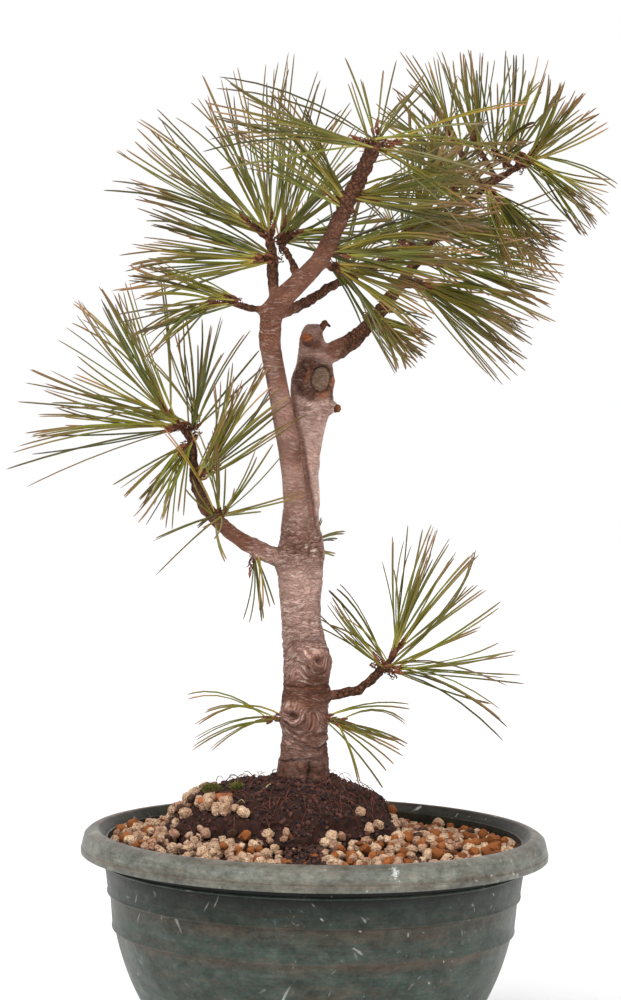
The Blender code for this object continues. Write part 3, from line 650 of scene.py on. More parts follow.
SHADE_UNDER_LIP = (  # painted shade under the rim's lip: depth below the lip, how dark
    (0, 1), (0.0046, 1), (0.0053, 0.15), (0.0063, 0.25), (0.0070, 0.92), (0.0090, 0.80),
    (0.0120, 0.60), (0.0220, 0.26), (0.0400, 0))
LIME_SPLASHES = (  # turn from +X, depth below the crest, size, strength
    (-1.24, 0.005, 0.006, 0.9), (-1.22, 0.012, 0.005, 0.7), (-0.62, 0.003, 0.006, 0.6),
    (-0.35, 0.006, 0.006, 0.7), (-1.9, 0.004, 0.008, 0.4), (-2.5, 0.006, 0.009, 0.35),
    (-0.95, 0.003, 0.008, 0.4), (-2.35, 0.042, 0.007, 0.42), (-0.72, 0.052, 0.008, 0.42),
    (-1.95, 0.060, 0.008, 0.3), (1.2, 0.005, 0.010, 0.5), (2.4, 0.007, 0.009, 0.5),
    (0.4, 0.05, 0.009, 0.4), (3.0, 0.004, 0.008, 0.5))
DRAIN_HOLES, DRAIN_RING, DRAIN_RADIUS = 5, 0.045, 0.004


class BONSAI_OT_pot(bpy.types.Operator):
    """Turn the pot's section into a bowl with a turned-down rim and drill its drain holes"""

    bl_idname = "bonsai.pot"
    bl_label = "Pot"

    def execute(self, context):
        s = context.scene.bonsai_pot
        profile = pot_profile(s)
        deselect()
        bpy.ops.mesh.primitive_circle_add(vertices=s.sides, radius=profile[0][0], fill_type="NOTHING")
        pot = context.object
        edit_all()
        for (r0, z0), (r1, z1) in zip(profile, profile[1:]):
            bpy.ops.mesh.extrude_edges_move(TRANSFORM_OT_translate={"value": (0, 0, z1 - z0)})
            bpy.ops.transform.resize(value=(r1 / r0, r1 / r0, 1), center_override=(0, 0, z1))
        for _ in range(2):
            bpy.ops.mesh.select_all(action="DESELECT")
            bpy.ops.mesh.select_non_manifold()
            bpy.ops.mesh.fill_holes(sides=0)
        leave_edit(outwards=True)
        self.drill(pot, s.floor)
        rim_line = self.weather(pot.data, s)
        finish_piece(pot, "bowl_pot", plastic_finish(s, rim_line), ["pot"])
        return {"FINISHED"}

    def weather(self, mesh, s):
        """Store where dust, painted highlight lines, painted shade and lime lie, dent the wall a little, and
        return the lip's height.
        """
        points = places(mesh)
        x, y, z = points.T
        out, crest = np.hypot(x, y), z.max()
        wide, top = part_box("pot")[1].x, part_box("pot")[1].z
        lip, neck = crest - s.rim_drop, wide - s.rim_overhang
        dust = smoothstep(z, crest - 0.0035, crest - 0.0004) * (0.35 + 0.65 * (y > 0))
        ledge = hump(z - crest + 0.0054, 0.0012) * (out < wide - 0.012)
        # The bands on the two steps and on the rim's bead are painted highlight lines along the ridges, in
        # the dirt colour; the dust on the crest and the inner ledge is dirt.
        steps = sum(hump(z - top + down, 0.0016) for down in (s.upper_step, s.lower_step))
        bead = hump(z - lip - 0.0044, 0.0010) * (out > 0.145)
        store(mesh, "dust", np.clip(0.95 * dust + 0.6 * ledge + 0.55 * steps + 0.5 * bead, 0, 1))
        # Painted shade under the rim's lip, darkest just below it and fading down the wall.
        under = np.interp(lip - z, *zip(*SHADE_UNDER_LIP)) * (out < neck + 0.010) * (z < crest - 0.006)
        store(mesh, "under", under)
        # Painted shade inside the bowl: faces that look inwards, and the inner edge of the top.
        facing = np.sum(directions(mesh)[:, :2] * points[:, :2], axis=1) / np.maximum(out, 1e-6)
        inner = smoothstep(-facing, 0.2, 0.6) * (z < crest - 0.002)
        within = smoothstep(neck + 0.0036 - out, 0, 0.0008) * (z > crest - 0.007)
        store(mesh, "inside", np.maximum(inner, within))
        splash = np.zeros(len(points))
        for turn, down, size, much in LIME_SPLASHES:
            near = np.hypot(x - out * math.cos(turn), y - out * math.sin(turn))
            splash = np.maximum(splash, much * hump(np.hypot(near, z - crest + down), size))
        store(mesh, "splash", splash)
        dents = 0.00025 * noise(points, 0.06, 3) / 0.13 * (z > 0.02)
        set_places(mesh, points * (1 + dents[:, None] * (1, 1, 0)))
        return lip

    def drill(self, pot, floor):
        """Cut the frame pot's drain holes in the floor."""
        for i in range(DRAIN_HOLES):
            turn = 2 * math.pi * (i + 0.25) / DRAIN_HOLES
            centre = (DRAIN_RING * math.cos(turn), DRAIN_RING * math.sin(turn), floor / 2)
            deselect()
            bpy.ops.mesh.primitive_cylinder_add(vertices=24, radius=DRAIN_RADIUS, depth=4 * floor,
                                                location=centre)
            drill = bpy.context.object
            cut = pot.modifiers.new("drain", "BOOLEAN")
            cut.operation = "DIFFERENCE"
            cut.object = drill
            only(pot)
            bpy.ops.object.modifier_apply(modifier=cut.name)
            bpy.data.objects.remove(drill, do_unlink=True)


# --- soil ---


def ground_tree(*objects):
    """Something to look up the ground's height in."""
    points, faces = [], []
    for obj in objects:
        shift = len(points)
        points += [tuple(p) for p in places(obj.data)]
        faces += [tuple(i + shift for i in face.vertices) for face in obj.data.polygons]
    return BVHTree.FromPolygons(points, faces)


def ground(tree, x, y):
    hit = tree.ray_cast(Vector((x, y, 0.3)), -UP)
    return hit[0].z if hit[0] else None


def mound_oval():
    """The middle and the half widths of the root ball."""
    low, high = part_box("root_ball")
    return (low + high) / 2, (high.x - low.x) / 2, (high.y - low.y) / 2


def on_oval(oval, turn, out):
    """A spot on the mound, from its turn and its share of the way out."""
    centre, across, away = oval
    return centre.x + across * out * math.cos(turn), centre.y + away * out * math.sin(turn)


def grain_templates(count, seed, rough, cuts):
    """Stones modelled from a subdivided cube, rounded and then roughened at random."""
    shapes = []
    for i in range(count):
        deselect()
        bpy.ops.mesh.primitive_cube_add(size=1.3)
        edit_all()
        bpy.ops.mesh.subdivide(number_cuts=cuts)
        bpy.ops.transform.tosphere(value=0.9)
        bpy.ops.transform.vertex_random(offset=rough, seed=seed + i)
        leave_edit()
        shapes.append(template(bpy.context.object))
    return shapes


def turned(points, size, rng):
    """A copy of a shape at a size, squeezed a little and turned at random."""
    squeeze = np.array([rng.uniform(0.75, 1.15) for _ in range(3)])
    turn = np.array(Euler([rng.uniform(0, 6.28) for _ in range(3)]).to_matrix())
    return (points * squeeze * size) @ turn.T


GRIT_EDGE = 0.0185  # from the rim's outside in to the outermost grains
ROOT_STATIONS = [(0, 0.8), (0.12, 1), (0.3, 1), (0.5, 0.95), (0.7, 0.9), (0.88, 0.7), (1, 0.3)]


class Heap:
    """Grains dropped one after another, each resting on the ground or on those below it."""

    CELL = 0.009

    def __init__(self, tree):
        self.tree, self.grid = tree, {}

    def key(self, x, y):
        return math.floor(x / self.CELL), math.floor(y / self.CELL)

    def near(self, x, y):
        i, j = self.key(x, y)
        for key in ((i + a, j + b) for a in (-1, 0, 1) for b in (-1, 0, 1)):
            yield from self.grid.get(key, ())

    def drop(self, x, y, radius, sink=0.25):
        low = ground(self.tree, x, y)
        if low is None:
            return None
        height = low + radius * (1 - sink)
        for ox, oy, oz, other in self.near(x, y):
            reach = 0.80 * (radius + other)
            apart = math.hypot(x - ox, y - oy)
            if apart < reach:
                height = max(height, oz + math.sqrt(reach * reach - apart * apart))
        return height

    def keep(self, x, y, z, radius):
        self.grid.setdefault(self.key(x, y), []).append((x, y, z, radius))


class BONSAI_OT_soil(bpy.types.Operator):
    """Lay the bed, the peat mound with its crumbs and roots, and drop the grit on it"""

    bl_idname = "bonsai.soil"
    bl_label = "Soil"

    def execute(self, context):
        s = context.scene.bonsai_soil
        bed = self.bed(s)
        mound = self.mound(s)
        tree = ground_tree(bed, mound)
        self.grit(s, tree)
        self.crumbs(s, tree)
        self.roots(s, tree)
        return {"FINISHED"}

    def bed(self, s):
        bed = frame_copy("gravel_fill", "soil_bed")
        points = places(bed.data)
        high = smoothstep(points[:, 2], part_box("pot")[1].z - 0.036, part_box("pot")[1].z - 0.020)
        points[:, 2] -= s.bed_sink * high
        set_places(bed.data, points)
        return finish_piece(bed, "soil_bed", peat_finish(s, "bed_dust"), ["gravel_fill"], 60)

    def mound(self, s):
        mound = frame_copy("root_ball", "peat_mound")
        remesh(mound, 0.0016)
        points, ways = places(mound.data), directions(mound.data)
        top = smoothstep(points[:, 2], 0.150, 0.158)
        lumps = sum(high * noise(points, size, seed) for high, size, seed in
                    ((0.0034, 0.0120, 1), (0.0022, 0.0052, 2), (0.0010, 0.0026, 3)))
        points += ways * ((lumps - 0.0006) * top)[:, None]
        set_places(mound.data, points)
        return finish_piece(mound, "peat_mound", peat_finish(s), ["root_ball"], 70)

    def grit(self, s, tree):
        rng = random.Random(11)
        centre, across, away = mound_oval()
        wall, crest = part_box("pot")[1].x - GRIT_EDGE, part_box("pot")[1].z
        kinds = {"pumice": (grain_templates(8, 5, 0.26, 2), Copies()),
                 "clay": (grain_templates(6, 31, 0.22, 2), Copies()),
                 "chips": (grain_templates(3, 57, 0.26, 1), Copies())}
        heap = Heap(tree)
        dropped = 0
        while dropped < s.grain_count:
            turn, out = rng.uniform(0, 2 * math.pi), wall * math.sqrt(rng.random())
            x, y = out * math.cos(turn), out * math.sin(turn)
            share = math.hypot((x - centre.x) / across, (y - centre.y) / away)
            slope = share > 0.70 and x < centre.x - 0.022 and y < 0.040
            strip = abs(x + 0.003) < 0.009 and y < -0.055
            foot = y < -0.015 and share > 0.7 and ground(tree, x, y) < crest + 0.004
            chance = 1.0 if share > 0.96 or foot else (0.8 if slope else 0.006 * (share > 0.6))
            chance *= 0.12 if strip else 1
            if rng.random() > chance:
                dropped += 1 if share > 1.3 else 0
                continue
            size = rng.uniform(s.grain_small, s.grain_large) * rng.uniform(0.8, 1.0) / 2
            orange = 0.30 + 0.10 * (x > 0.02) - 0.18 * (x < -0.05)
            pick = rng.random()
            kind = "clay" if pick < orange else ("chips" if pick > 0.95 else "pumice")
            size *= {"pumice": 1.0, "clay": 0.98, "chips": 0.8}[kind]
            if math.hypot(x, y) + size > wall + 0.001:
                continue
            z = heap.drop(x, y, size)
            dropped += 1
            if z is None:
                continue
            if z > (heap_ceiling(crest, x, y, share) if share > 1.05 else ground(tree, x, y) + 0.0065):
                continue
            heap.keep(x, y, z, size)
            shapes, copies = kinds[kind]
            points, faces = shapes[rng.randrange(len(shapes))]
            copies.add(turned(points, size * 1.12, rng) + (x, y, z), faces, tone=rng.random())
        dark = tint(58, 42, 34)
        looks = {
            "pumice": grain_finish("pumice", s.pumice_colour, dark, 1000, 0.42, 0.0016),
            "clay": grain_finish("fired_clay", s.clay_colour, tint(110, 62, 34), 500, 0.22, 0.0004),
            "chips": grain_finish("dark_chips", tint(92, 66, 52), dark, 500, 0.3, 0.0006),
        }
        for kind, (_, copies) in kinds.items():
            finish_piece(copies.build(kind), kind + "_grains", looks[kind], (), 42)

    def crumbs(self, s, tree):
        rng = random.Random(23)
        oval = mound_oval()
        shapes, copies = grain_templates(5, 71, 0.34, 1), Copies()
        for _ in range(s.crumb_count):
            turn, out = rng.uniform(0, 2 * math.pi), math.sqrt(rng.random()) * 1.04
            x, y = on_oval(oval, turn, out)
            if rng.random() < 0.13:
                x, y = rng.uniform(-0.017, 0.010), rng.uniform(-0.128, -0.060)
            z = ground(tree, x, y)
            if z is None:
                continue
            size = 0.5 * MM * rng.choice((1.0, 1.3, 1.6, 1.9, 2.3, 2.8, 3.6))
            points, faces = shapes[rng.randrange(len(shapes))]
            lift = 0.004 if y < -0.060 and z < 0.155 else 0
            place = (x, y, z + 0.3 * size + lift)
            copies.add(turned(points, size, rng) + place, faces, tone=rng.random() ** 2.2)
        look = strand_finish("peat_crumb", shade(s.peat_colour, 0.3), shade(s.peat_colour, 2.8))
        finish_piece(copies.build("crumbs"), "peat_crumbs", look, (), 40)

    def roots(self, s, tree):
        rng = random.Random(41)
        points, faces = rod_template(5, ROOT_STATIONS)
        oval = mound_oval()
        dry = strand_finish("dry_rootlet", shade(s.root_colour, 0.25), shade(s.root_colour, 0.95))
        live = strand_finish("live_rootlet", shade(s.pale_root_colour, 0.6), s.pale_root_colour)
        for name, count, spans, widths, look in (
                ("rootlets", 420, (0.004, 0.016), (0.14, 0.30), dry),
                ("live_rootlets", 10, (0.006, 0.013), (0.22, 0.42), live)):
            copies = Copies()
            while count:
                turn, out = rng.uniform(0, 2 * math.pi), 0.93 * math.sqrt(rng.random())
                x, y = on_oval(oval, turn, out)
                heading, span = rng.uniform(0, 2 * math.pi), rng.uniform(*spans)
                x2, y2 = x + span * math.cos(heading), y + span * math.sin(heading)
                z, z2 = ground(tree, x, y), ground(tree, x2, y2)
                if z is None or z2 is None or min(z, z2) < 0.152:
                    continue
                loose = rng.random() < 0.25
                top = max(z, z2) + span * (rng.uniform(0.35, 0.8) if loose else rng.uniform(0.05, 0.3))
                middle = ((x + x2) / 2 + rng.uniform(-0.2, 0.2) * span,
                          (y + y2) / 2 + rng.uniform(-0.2, 0.2) * span, top)
                start, end = (x, y, z - 0.0008), (x2, y2, z2 + (0.004 if loose else -0.0005))
                laid = bend_rod(points, start, middle, end, rng.uniform(*widths) * MM, 1, rng.uniform(0, 6))
                copies.add(laid, faces, tone=rng.random())
                count -= 1
            finish_piece(copies.build(name), name, look, (), 60)


def heap_ceiling(crest, x, y, share):
    """Highest that a grain's middle may lie: the grit stays near the frame's own level."""
    flat = crest - 0.005 - 0.004 * y / 0.135
    edge = crest + 0.006
    fall = min(1, max(0, 1 - (share - 1) / 0.75))
    return flat + (edge - flat) * fall ** 1.5


class BONSAI_OT_litter(bpy.types.Operator):
    """Shape the strip of bark and grow the two moss cushions on the mound"""

    bl_idname = "bonsai.litter"
    bl_label = "Bark and moss"

    def execute(self, context):
        s = context.scene.bonsai_soil
        bark = frame_copy("loose_bark", "bark_strip")
        remesh(bark, 0.0005)
        points, ways = places(bark.data), directions(bark.data)
        flakes = 0.0007 * noise(points * (0.5, 1, 1), 0.0022, 5) + 0.0004 * noise(points, 0.0011, 6)
        points += ways * flakes[:, None]
        set_places(bark.data, points)
        store(bark.data, "tone", np.clip(0.5 + 0.6 * noise(points, 0.005, 9), 0, 1))
        look = strand_finish("red_bark", tint(70, 34, 24), tint(204, 116, 64))
        finish_piece(bark, "bark_strip", look, ["loose_bark"], 50)
        rng = random.Random(53)
        points, faces = rod_template(3, [(0, 1), (0.5, 0.9), (1, 0.25)])
        look = strand_finish("moss", shade(s.moss_colour, 0.35), shade(s.moss_colour, 1.2))
        for node in ("moss_large", "moss_small"):
            low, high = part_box(node)
            centre, reach = (low + high) / 2, (high - low) / 2
            copies = Copies()
            for _ in range(int(260 * reach.x / 0.0045)):
                way = Vector((rng.gauss(0, 1), rng.gauss(0, 1), abs(rng.gauss(0, 0.8)) + 0.1)).normalized()
                foot = centre + Vector([way[k] * reach[k] * 0.80 for k in range(3)])
                tip = foot + (way + UP * 0.5 + scatter(rng, 0.5)) * rng.uniform(0.0009, 0.0022)
                laid = bend_rod(points, foot, (foot + tip) / 2, tip, 0.00022, 1, rng.uniform(0, 6))
                copies.add(laid, faces, tone=rng.random())
            points_in, faces_in = template(frame_copy(node, "cushion"))
            middle = np.array(centre)
            copies.add(middle + (points_in - middle) * 0.85, faces_in, tone=0.15)
            finish_piece(copies.build(node), node.replace("moss", "moss_cushion"), look, [node], 60)
        return {"FINISHED"}


# --- wood ---


KNOTS = (  # across, up, width and height of the bulge, on the front of the trunk
    (-0.0018, 0.2668, 0.0095, 0.0046), (-0.0140, 0.2320, 0.0100, 0.0052))
KNOT_RINGS = (  # distance from the knot's middle, width, height
    (0, 0.0019, -0.0022), (0.0038, 0.0014, 0.0014), (0.0058, 0.0006, -0.0008),
    (0.0076, 0.0013, 0.0009), (0.0100, 0.0006, -0.0008), (0.0120, 0.0013, 0.0006))
FOLD_BANDS = (  # height, half width and strength of the bark's folded bands
    (0.338, 0.013, 1.0), (0.298, 0.010, 0.5), (0.424, 0.007, 0.5), (0.352, 0.007, 0.5))
CROSS_CRACKS = (  # height and strength
    (0.2115, 0.7), (0.2180, 0.5), (0.2500, 0.7), (0.2455, 0.5), (0.3245, 0.45), (0.3180, 0.4))
BULGE = (  # height, half width and lift on the right of the fork
    (0.343, 0.010, 0.0014), (0.322, 0.008, -0.0010), (0.364, 0.008, -0.0006))
WOUND = Vector((-0.0012, 0.0, 0.4458))


class BONSAI_OT_wood(bpy.types.Operator):
    """Join the limbs into one grown skin and give it folds, knots, cracks and the old wound"""

    bl_idname = "bonsai.wood"
    bl_label = "Trunk and branches"

    def execute(self, context):
        s = context.scene.bonsai_wood
        wood = frame_copy("trunk_and_branches", "bark")
        remesh(wood, s.voxel)
        mesh = wood.data
        points = places(mesh)
        thick = self.thickness(mesh, points)
        weight = 0.5 * np.clip((thick / 0.014) ** 2, 0.03, 1)
        points = relax(mesh, points, 60, weight)
        set_places(mesh, points)
        points += directions(mesh) * (0.0007 * weight)[:, None]
        set_places(mesh, points)
        points = self.relief(mesh, points, thick)
        set_places(mesh, points)
        finish_piece(wood, "bark_and_branches", bark_finish(s), ["trunk_and_branches"], 0)
        bpy.ops.object.shade_smooth()
        return {"FINISHED"}

    def thickness(self, mesh, points):
        """About half the distance through the wood under each point."""
        tree = BVHTree.FromPolygons(points.tolist(), [tuple(face.vertices) for face in mesh.polygons])
        ways = directions(mesh)
        found = np.empty(len(points))
        for i, (point, way) in enumerate(zip(points, ways)):
            hit = tree.ray_cast(Vector(point - way * 0.0002), Vector(-way), 0.05)
            found[i] = hit[3] / 2 if hit[0] else 0.02
        return relax(mesh, np.clip(found, 0.001, 0.018), 25, np.full(len(points), 0.5))

    def relief(self, mesh, points, thick):
        """Raise and sink the skin, and store what the bark's finish reads."""
        def lumps(size, seed):
            return noise(points, size, seed)

        ways = directions(mesh)
        x, y, z = points.T
        front = smoothstep(-ways[:, 1], -0.1, 0.5)
        trunk = smoothstep(thick, 0.0070, 0.0100)
        ring = z + 0.0020 * lumps(0.014, 4) + 0.0008 * lumps(0.004, 5)
        folded = 0.75 * smoothstep(z, 0.200, 0.206) * smoothstep(z, 0.310, 0.285) * trunk
        for height, reach, much in FOLD_BANDS:
            folded = np.maximum(folded, much * trunk * hump(z - height, reach))
        elbow = hump(z - 0.478, 0.016) * smoothstep(-x, 0.012, 0.022) * smoothstep(thick, 0.005, 0.007)
        folded = np.maximum(folded, 0.5 * elbow)
        lift = trunk * (0.0009 * lumps(0.016, 6) + 0.0004 * lumps(0.006, 7))
        dark, crease = np.zeros(len(points)), np.zeros(len(points))
        for across, up, wide, high in KNOTS:
            dx, dz = x - across, z - up
            away = np.hypot(dx + 0.25 * dz, dz * np.where(dz < 0, 0.75, 1.35))
            away += 0.0010 * lumps(0.0045, 18) + 0.0012 * lumps(0.010, 17)
            near = front * trunk
            lift += near * high * hump(np.hypot(dx, dz + 0.002), wide)
            below = 0.35 + 0.65 * smoothstep(-dz + 0.35 * dx, -0.004, 0.004)
            for radius, size, much in KNOT_RINGS:
                shape = near * hump(away - radius, size) * (below if radius > 0.005 else 1)
                lift += much * shape
                if much < 0 and radius:
                    crease = np.maximum(crease, 0.55 * shape)
            # Painted shade in the knot's sunken heart.
            dark = np.maximum(dark, 0.45 * near * hump(away, 0.0014))
            crease = np.maximum(crease, 0.75 * near * hump(away, 0.0030))
            pull = near * np.exp(-(away / (1.7 * wide)) ** 4) * (0.15 + 0.85 * below)
            ring = ring * (1 - pull) + (up - 1.2 * away + 0.0016 * lumps(0.006, 19)) * pull
            folded = np.maximum(folded, near * hump(away, (1.8 * wide)))
        skin = np.stack((x / 0.011, y / 0.011, ring / 0.0034), axis=1)
        valley = hump(noise(skin, 1.0, 31), 0.16)
        fine = hump(noise(skin * (1.4, 1.4, 1.9), 1.0, 32), 0.16)
        lift += folded * (0.0005 * noise(skin * (0.6, 0.6, 1), 1.0, 33) - 0.0007 * valley - 0.0004 * fine)
        lift -= 0.00018 * trunk * fine
        crease = np.maximum(crease, folded * np.maximum(0.75 * valley, 0.5 * fine))
        crease = np.maximum(crease, 0.25 * trunk * fine)
        scaly = 1 - smoothstep(thick, 0.0030, 0.0046)
        crown = smoothstep(x + 0.004 * lumps(0.006, 40), 0.006, 0.016) * smoothstep(z, 0.446, 0.458)
        top = smoothstep(z + 0.008 * lumps(0.010, 34), 0.500, 0.560)
        scaly = np.maximum(scaly, np.maximum(0.9 * crown, 0.85 * top))
        lift += scaly * (0.0008 * lumps(0.0034, 8) + 0.0004 * lumps(0.0018, 9))
        crack = np.abs(x + 0.0035 + 0.16 * (z - 0.19) + 0.0022 * lumps(0.006, 12))
        crack = hump(crack, 0.0008) * smoothstep(0.203 - z, 0, 0.002) * front
        level = 0.2030 + 0.0016 * noise(points * (1, 1, 0), 0.010, 13)
        across = hump(z - level, 0.0007) * front * smoothstep(0.006 - x, 0, 0.004)
        for up, much in CROSS_CRACKS:
            bent = up + 0.0014 * noise(points * (1, 1, 0), 0.012, int(up * 1e4))
            broken = smoothstep(lumps(0.02, int(up * 2e4)), -0.4, 0.1)
            across = np.maximum(across, much * trunk * hump(z - bent, 0.0006) * broken)
        crack = np.maximum(crack, across)
        lift -= 0.0014 * crack
        # Painted shade: the sunken cracks are coloured near-black.
        dark = np.maximum(dark, 0.85 * crack)
        low = smoothstep(0.2035 - z, 0, 0.0012) * trunk
        flakes = noise(points * (1, 1, 0.7), 0.0050, 15)
        lift += low * (0.0007 + 0.0010 * np.sign(flakes) * np.abs(flakes) ** 0.5)
        soiled = smoothstep(0.226 - z, 0, 0.020) * (0.48 + 0.35 * lumps(0.008, 14))
        soiled = np.maximum(soiled, smoothstep(0.2035 - z, 0, 0.0015) * (0.78 + 0.2 * lumps(0.006, 11)))
        split = -0.0205 + (0.448 - z) * 0.195 - x
        rough = z + 0.006 * lumps(0.008, 10)
        leader = smoothstep(split, -0.002, 0.002) * smoothstep(rough, 0.318, 0.372)
        warm = leader * (0.62 + 0.25 * hump(split, 0.008) + 0.15 * lumps(0.012, 36))
        warm += smoothstep(rough, 0.448, 0.490) + 0.22 * hump(z - 0.340, 0.014) + 0.6 * hump(z - 0.246, 0.008)
        warm += 0.15 * smoothstep(z, 0.370, 0.320) + 0.35 * smoothstep(z, 0.300, 0.255)
        warm += 0.35 * np.clip(lumps(0.018, 16), 0, 1)
        groove = hump(split, 0.0013) * front * smoothstep(z, 0.338, 0.350) * smoothstep(z, 0.425, 0.400)
        lift -= 0.0011 * groove
        crease = np.maximum(crease, 0.75 * groove)
        neck = smoothstep(z, 0.452, 0.464) * smoothstep(x, -0.021, -0.017) * smoothstep(z, 0.494, 0.488)
        warm *= 1 - neck
        warm += neck * (0.68 + 0.5 * lumps(0.006, 37) + 0.6 * smoothstep(x, 0.002, 0.012))
        right = trunk * smoothstep(x, -0.004, 0.006)
        lift += right * sum(much * hump(z - height, reach) for height, reach, much in BULGE)
        branch = smoothstep(-x, 0.024, 0.032) * (z < 0.40)
        warm += branch * (0.30 + 0.5 * lumps(0.008, 41) + 0.5 * smoothstep(-x, 0.040, 0.070))
        lift += branch * (0.0006 * lumps(0.005, 42) + 0.0004 * lumps(0.0022, 43))
        lift += neck * (0.0007 * lumps(0.004, 38) + 0.0004 * lumps(0.002, 39))
        points, lift, (old_wood, callus, patch, edge) = self.wound(points, lift, front, thick, z)
        dark = np.maximum(dark, edge)
        crease = np.maximum(crease, 0.15 * patch)
        warm = np.maximum(warm, 0.85 * patch)
        stub = np.hypot(x + 0.0095, (z - 0.4700) * 1.3) + 0.0006 * lumps(0.004, 35)
        stub = hump(stub - 0.0056, 0.0012) * smoothstep(0.4745 - z, 0, 0.004)
        stub *= (y < 0.010) * (z > 0.458) * (x > -0.022)
        lift -= 0.0005 * stub
        # Painted shade in the groove round the stub.
        dark = np.maximum(dark, 0.25 * stub)
        store(mesh, "ring", ring)
        values = {"fold": np.maximum(np.maximum(folded, 0.45 * branch), patch), "warm": warm, "dark": dark,
                  "scaly": np.maximum(scaly, 0.35 * patch), "soiled": np.maximum(soiled, 0.12 * patch),
                  "crease": crease, "old_wood": old_wood, "callus": callus}
        for name, value in values.items():
            store(mesh, name, np.clip(value, 0, 1))
        return points + ways * lift[:, None]

    def wound(self, points, lift, front, thick, z):
        """The old pruning wound: a grey oval face in a gap, flaky bark round it and broken callus."""
        def lumps(size, seed):
            return noise(points, size, seed)

        dx, dz = points[:, 0] - WOUND.x, points[:, 2] - WOUND.z
        dx, dz = dx * 0.97 - dz * 0.17, dx * 0.17 + dz * 0.97
        near = (points[:, 1] < 0.020) & (thick > 0.006)
        wobble = 0.0006 * lumps(0.004, 25)
        away = np.hypot(dx / 0.74, dz) + wobble
        turn = np.degrees(np.arctan2(dz, dx))
        face = near * smoothstep(away, 0.0080, 0.0072)
        points = points.copy()
        lowest = np.percentile(points[(face > 0.9), 1], 8) if (face > 0.9).any() else 0
        points[:, 1] += face * (lowest + 0.0004 - points[:, 1]) * 0.85
        lift = lift * (1 - face) + face * (0.0003 * lumps(0.003, 20) + 0.00025 * np.sin(away * 4200))
        pith = np.hypot(dx - 0.0016, dz + 0.0004)
        lift -= 0.0014 * near * hump(pith, 0.0011)
        gap = near * hump(away - 0.0083, 0.0007)
        lift -= 0.0016 * gap
        rim = near * hump(away - 0.0105, 0.0016) * (0.6 + 0.4 * lumps(0.005, 22))
        lift += 0.0020 * rim
        right = near * hump(away - 0.0106, 0.0019) * smoothstep(turn, -105, -80) * smoothstep(turn, 30, 5)
        left = near * hump(away - 0.0118, 0.0013) * (np.abs(np.abs(turn) - 168) < 22) * (dx < 0)
        callus = np.maximum(right * smoothstep(lumps(0.006, 26), -0.6, -0.1), 0.9 * left)
        around = np.hypot((dx + 0.003) / 1.15, (dz + 0.001) / 0.85)
        around += 0.0016 * lumps(0.004, 28) + 0.0016 * lumps(0.009, 29)
        patch = near * front * smoothstep(around, 0.0185, 0.0115) * (1 - face) * (1 - callus)
        lift += patch * (0.0009 * lumps(0.0045, 21) + 0.0004 * lumps(0.0022, 23))
        cleft = hump(lumps(0.008, 24), 0.07)
        lift -= 0.0007 * patch * cleft
        edge = near * smoothstep(points[:, 0], WOUND.x + 0.0105, WOUND.x + 0.0140) * (np.abs(dz) < 0.014)
        lift += 0.0008 * edge * np.abs(lumps(0.003, 27))
        # Painted shade: the gap round the face, the clefts in the flaky bark and the pith's pit are darkened.
        # The edge strip to the right of the wound is darkened as well.
        dark = np.clip(np.maximum(np.maximum(0.62 * gap, 0.8 * edge), 0.5 * patch * cleft), 0, 1)
        dark = np.maximum(dark, 0.85 * near * hump(pith, 0.0010))
        face = face * (0.86 + 0.14 * np.cos(away * 3900)) * (1 - 0.9 * hump(pith, 0.0011))
        layers = [np.clip(layer, 0, 1) for layer in (face, callus * (1 - face), patch)]
        return points, lift, (*layers, dark)


CUTS = (  # name, place, the way it points, radius, half depth, squeeze, brightness
    ("orange_cut", (-0.0103, -0.0008, 0.4706), (-0.30, -0.58, 0.76), 0.0042, 0.0056, 0.80, 0.85),
    ("snag_tip", (0.0092, 0.0130, 0.4270), (0.95, -0.2, 0.1), 0.0027, 0.0038, 1.0, 0.50),
    ("spur_knob", (-0.0012, 0.0148, 0.4786), (0.52, -0.15, 0.84), 0.0024, 0.0072, 0.9, 0.34),
    ("spur_scale", (0.0016, 0.0132, 0.4812), (-0.8, -0.4, 0.5), 0.0017, 0.0036, 0.6, 0.30))


class BONSAI_OT_stubs(bpy.types.Operator):
    """Model the fresh orange cut, the snag's resin tip and the small broken spur"""

    bl_idname = "bonsai.stubs"
    bl_label = "Cut stubs"

    def execute(self, context):
        s = context.scene.bonsai_wood
        for name, place, way, radius, depth, squeeze, bright in CUTS:
            deselect()
            bpy.ops.mesh.primitive_uv_sphere_add(segments=24, ring_count=14, radius=radius)
            stub = context.object
            edit_all()
            bpy.ops.transform.resize(value=(1, squeeze, depth / radius), center_override=(0, 0, 0))
            bpy.ops.transform.vertex_random(offset=0.05 * radius, seed=3)
            leave_edit()
            points = places(stub.data)
            share = points[:, 2] / depth
            out = np.hypot(points[:, 0], points[:, 1] / squeeze) / radius
            cup = smoothstep(share, 0.55, 0.75)
            points[:, 2] -= depth * cup * 0.30 * (1 - out)
            points[:, 2] -= depth * 0.18 * hump(out - 0.72, 0.07) * (share > 0)
            points += 0.05 * radius * noise(points, 0.35 * radius, 8)[:, None]
            set_places(stub.data, points)
            tone = np.clip(smoothstep(share, 0.1, 0.5) - 0.95 * hump(out - 0.74, 0.09), 0, 1)
            store(stub.data, "tone", tone)
            turn = Vector(way).to_track_quat("Z", "Y").to_matrix()
            stub.data.transform(Matrix.Translation(place) @ turn.to_4x4())
            look = strand_finish(name, shade(s.fold_colour, 0.35), shade(s.callus_colour, bright))
            finish_piece(stub, name, look, (), 60)
        return {"FINISHED"}


# --- needles ---


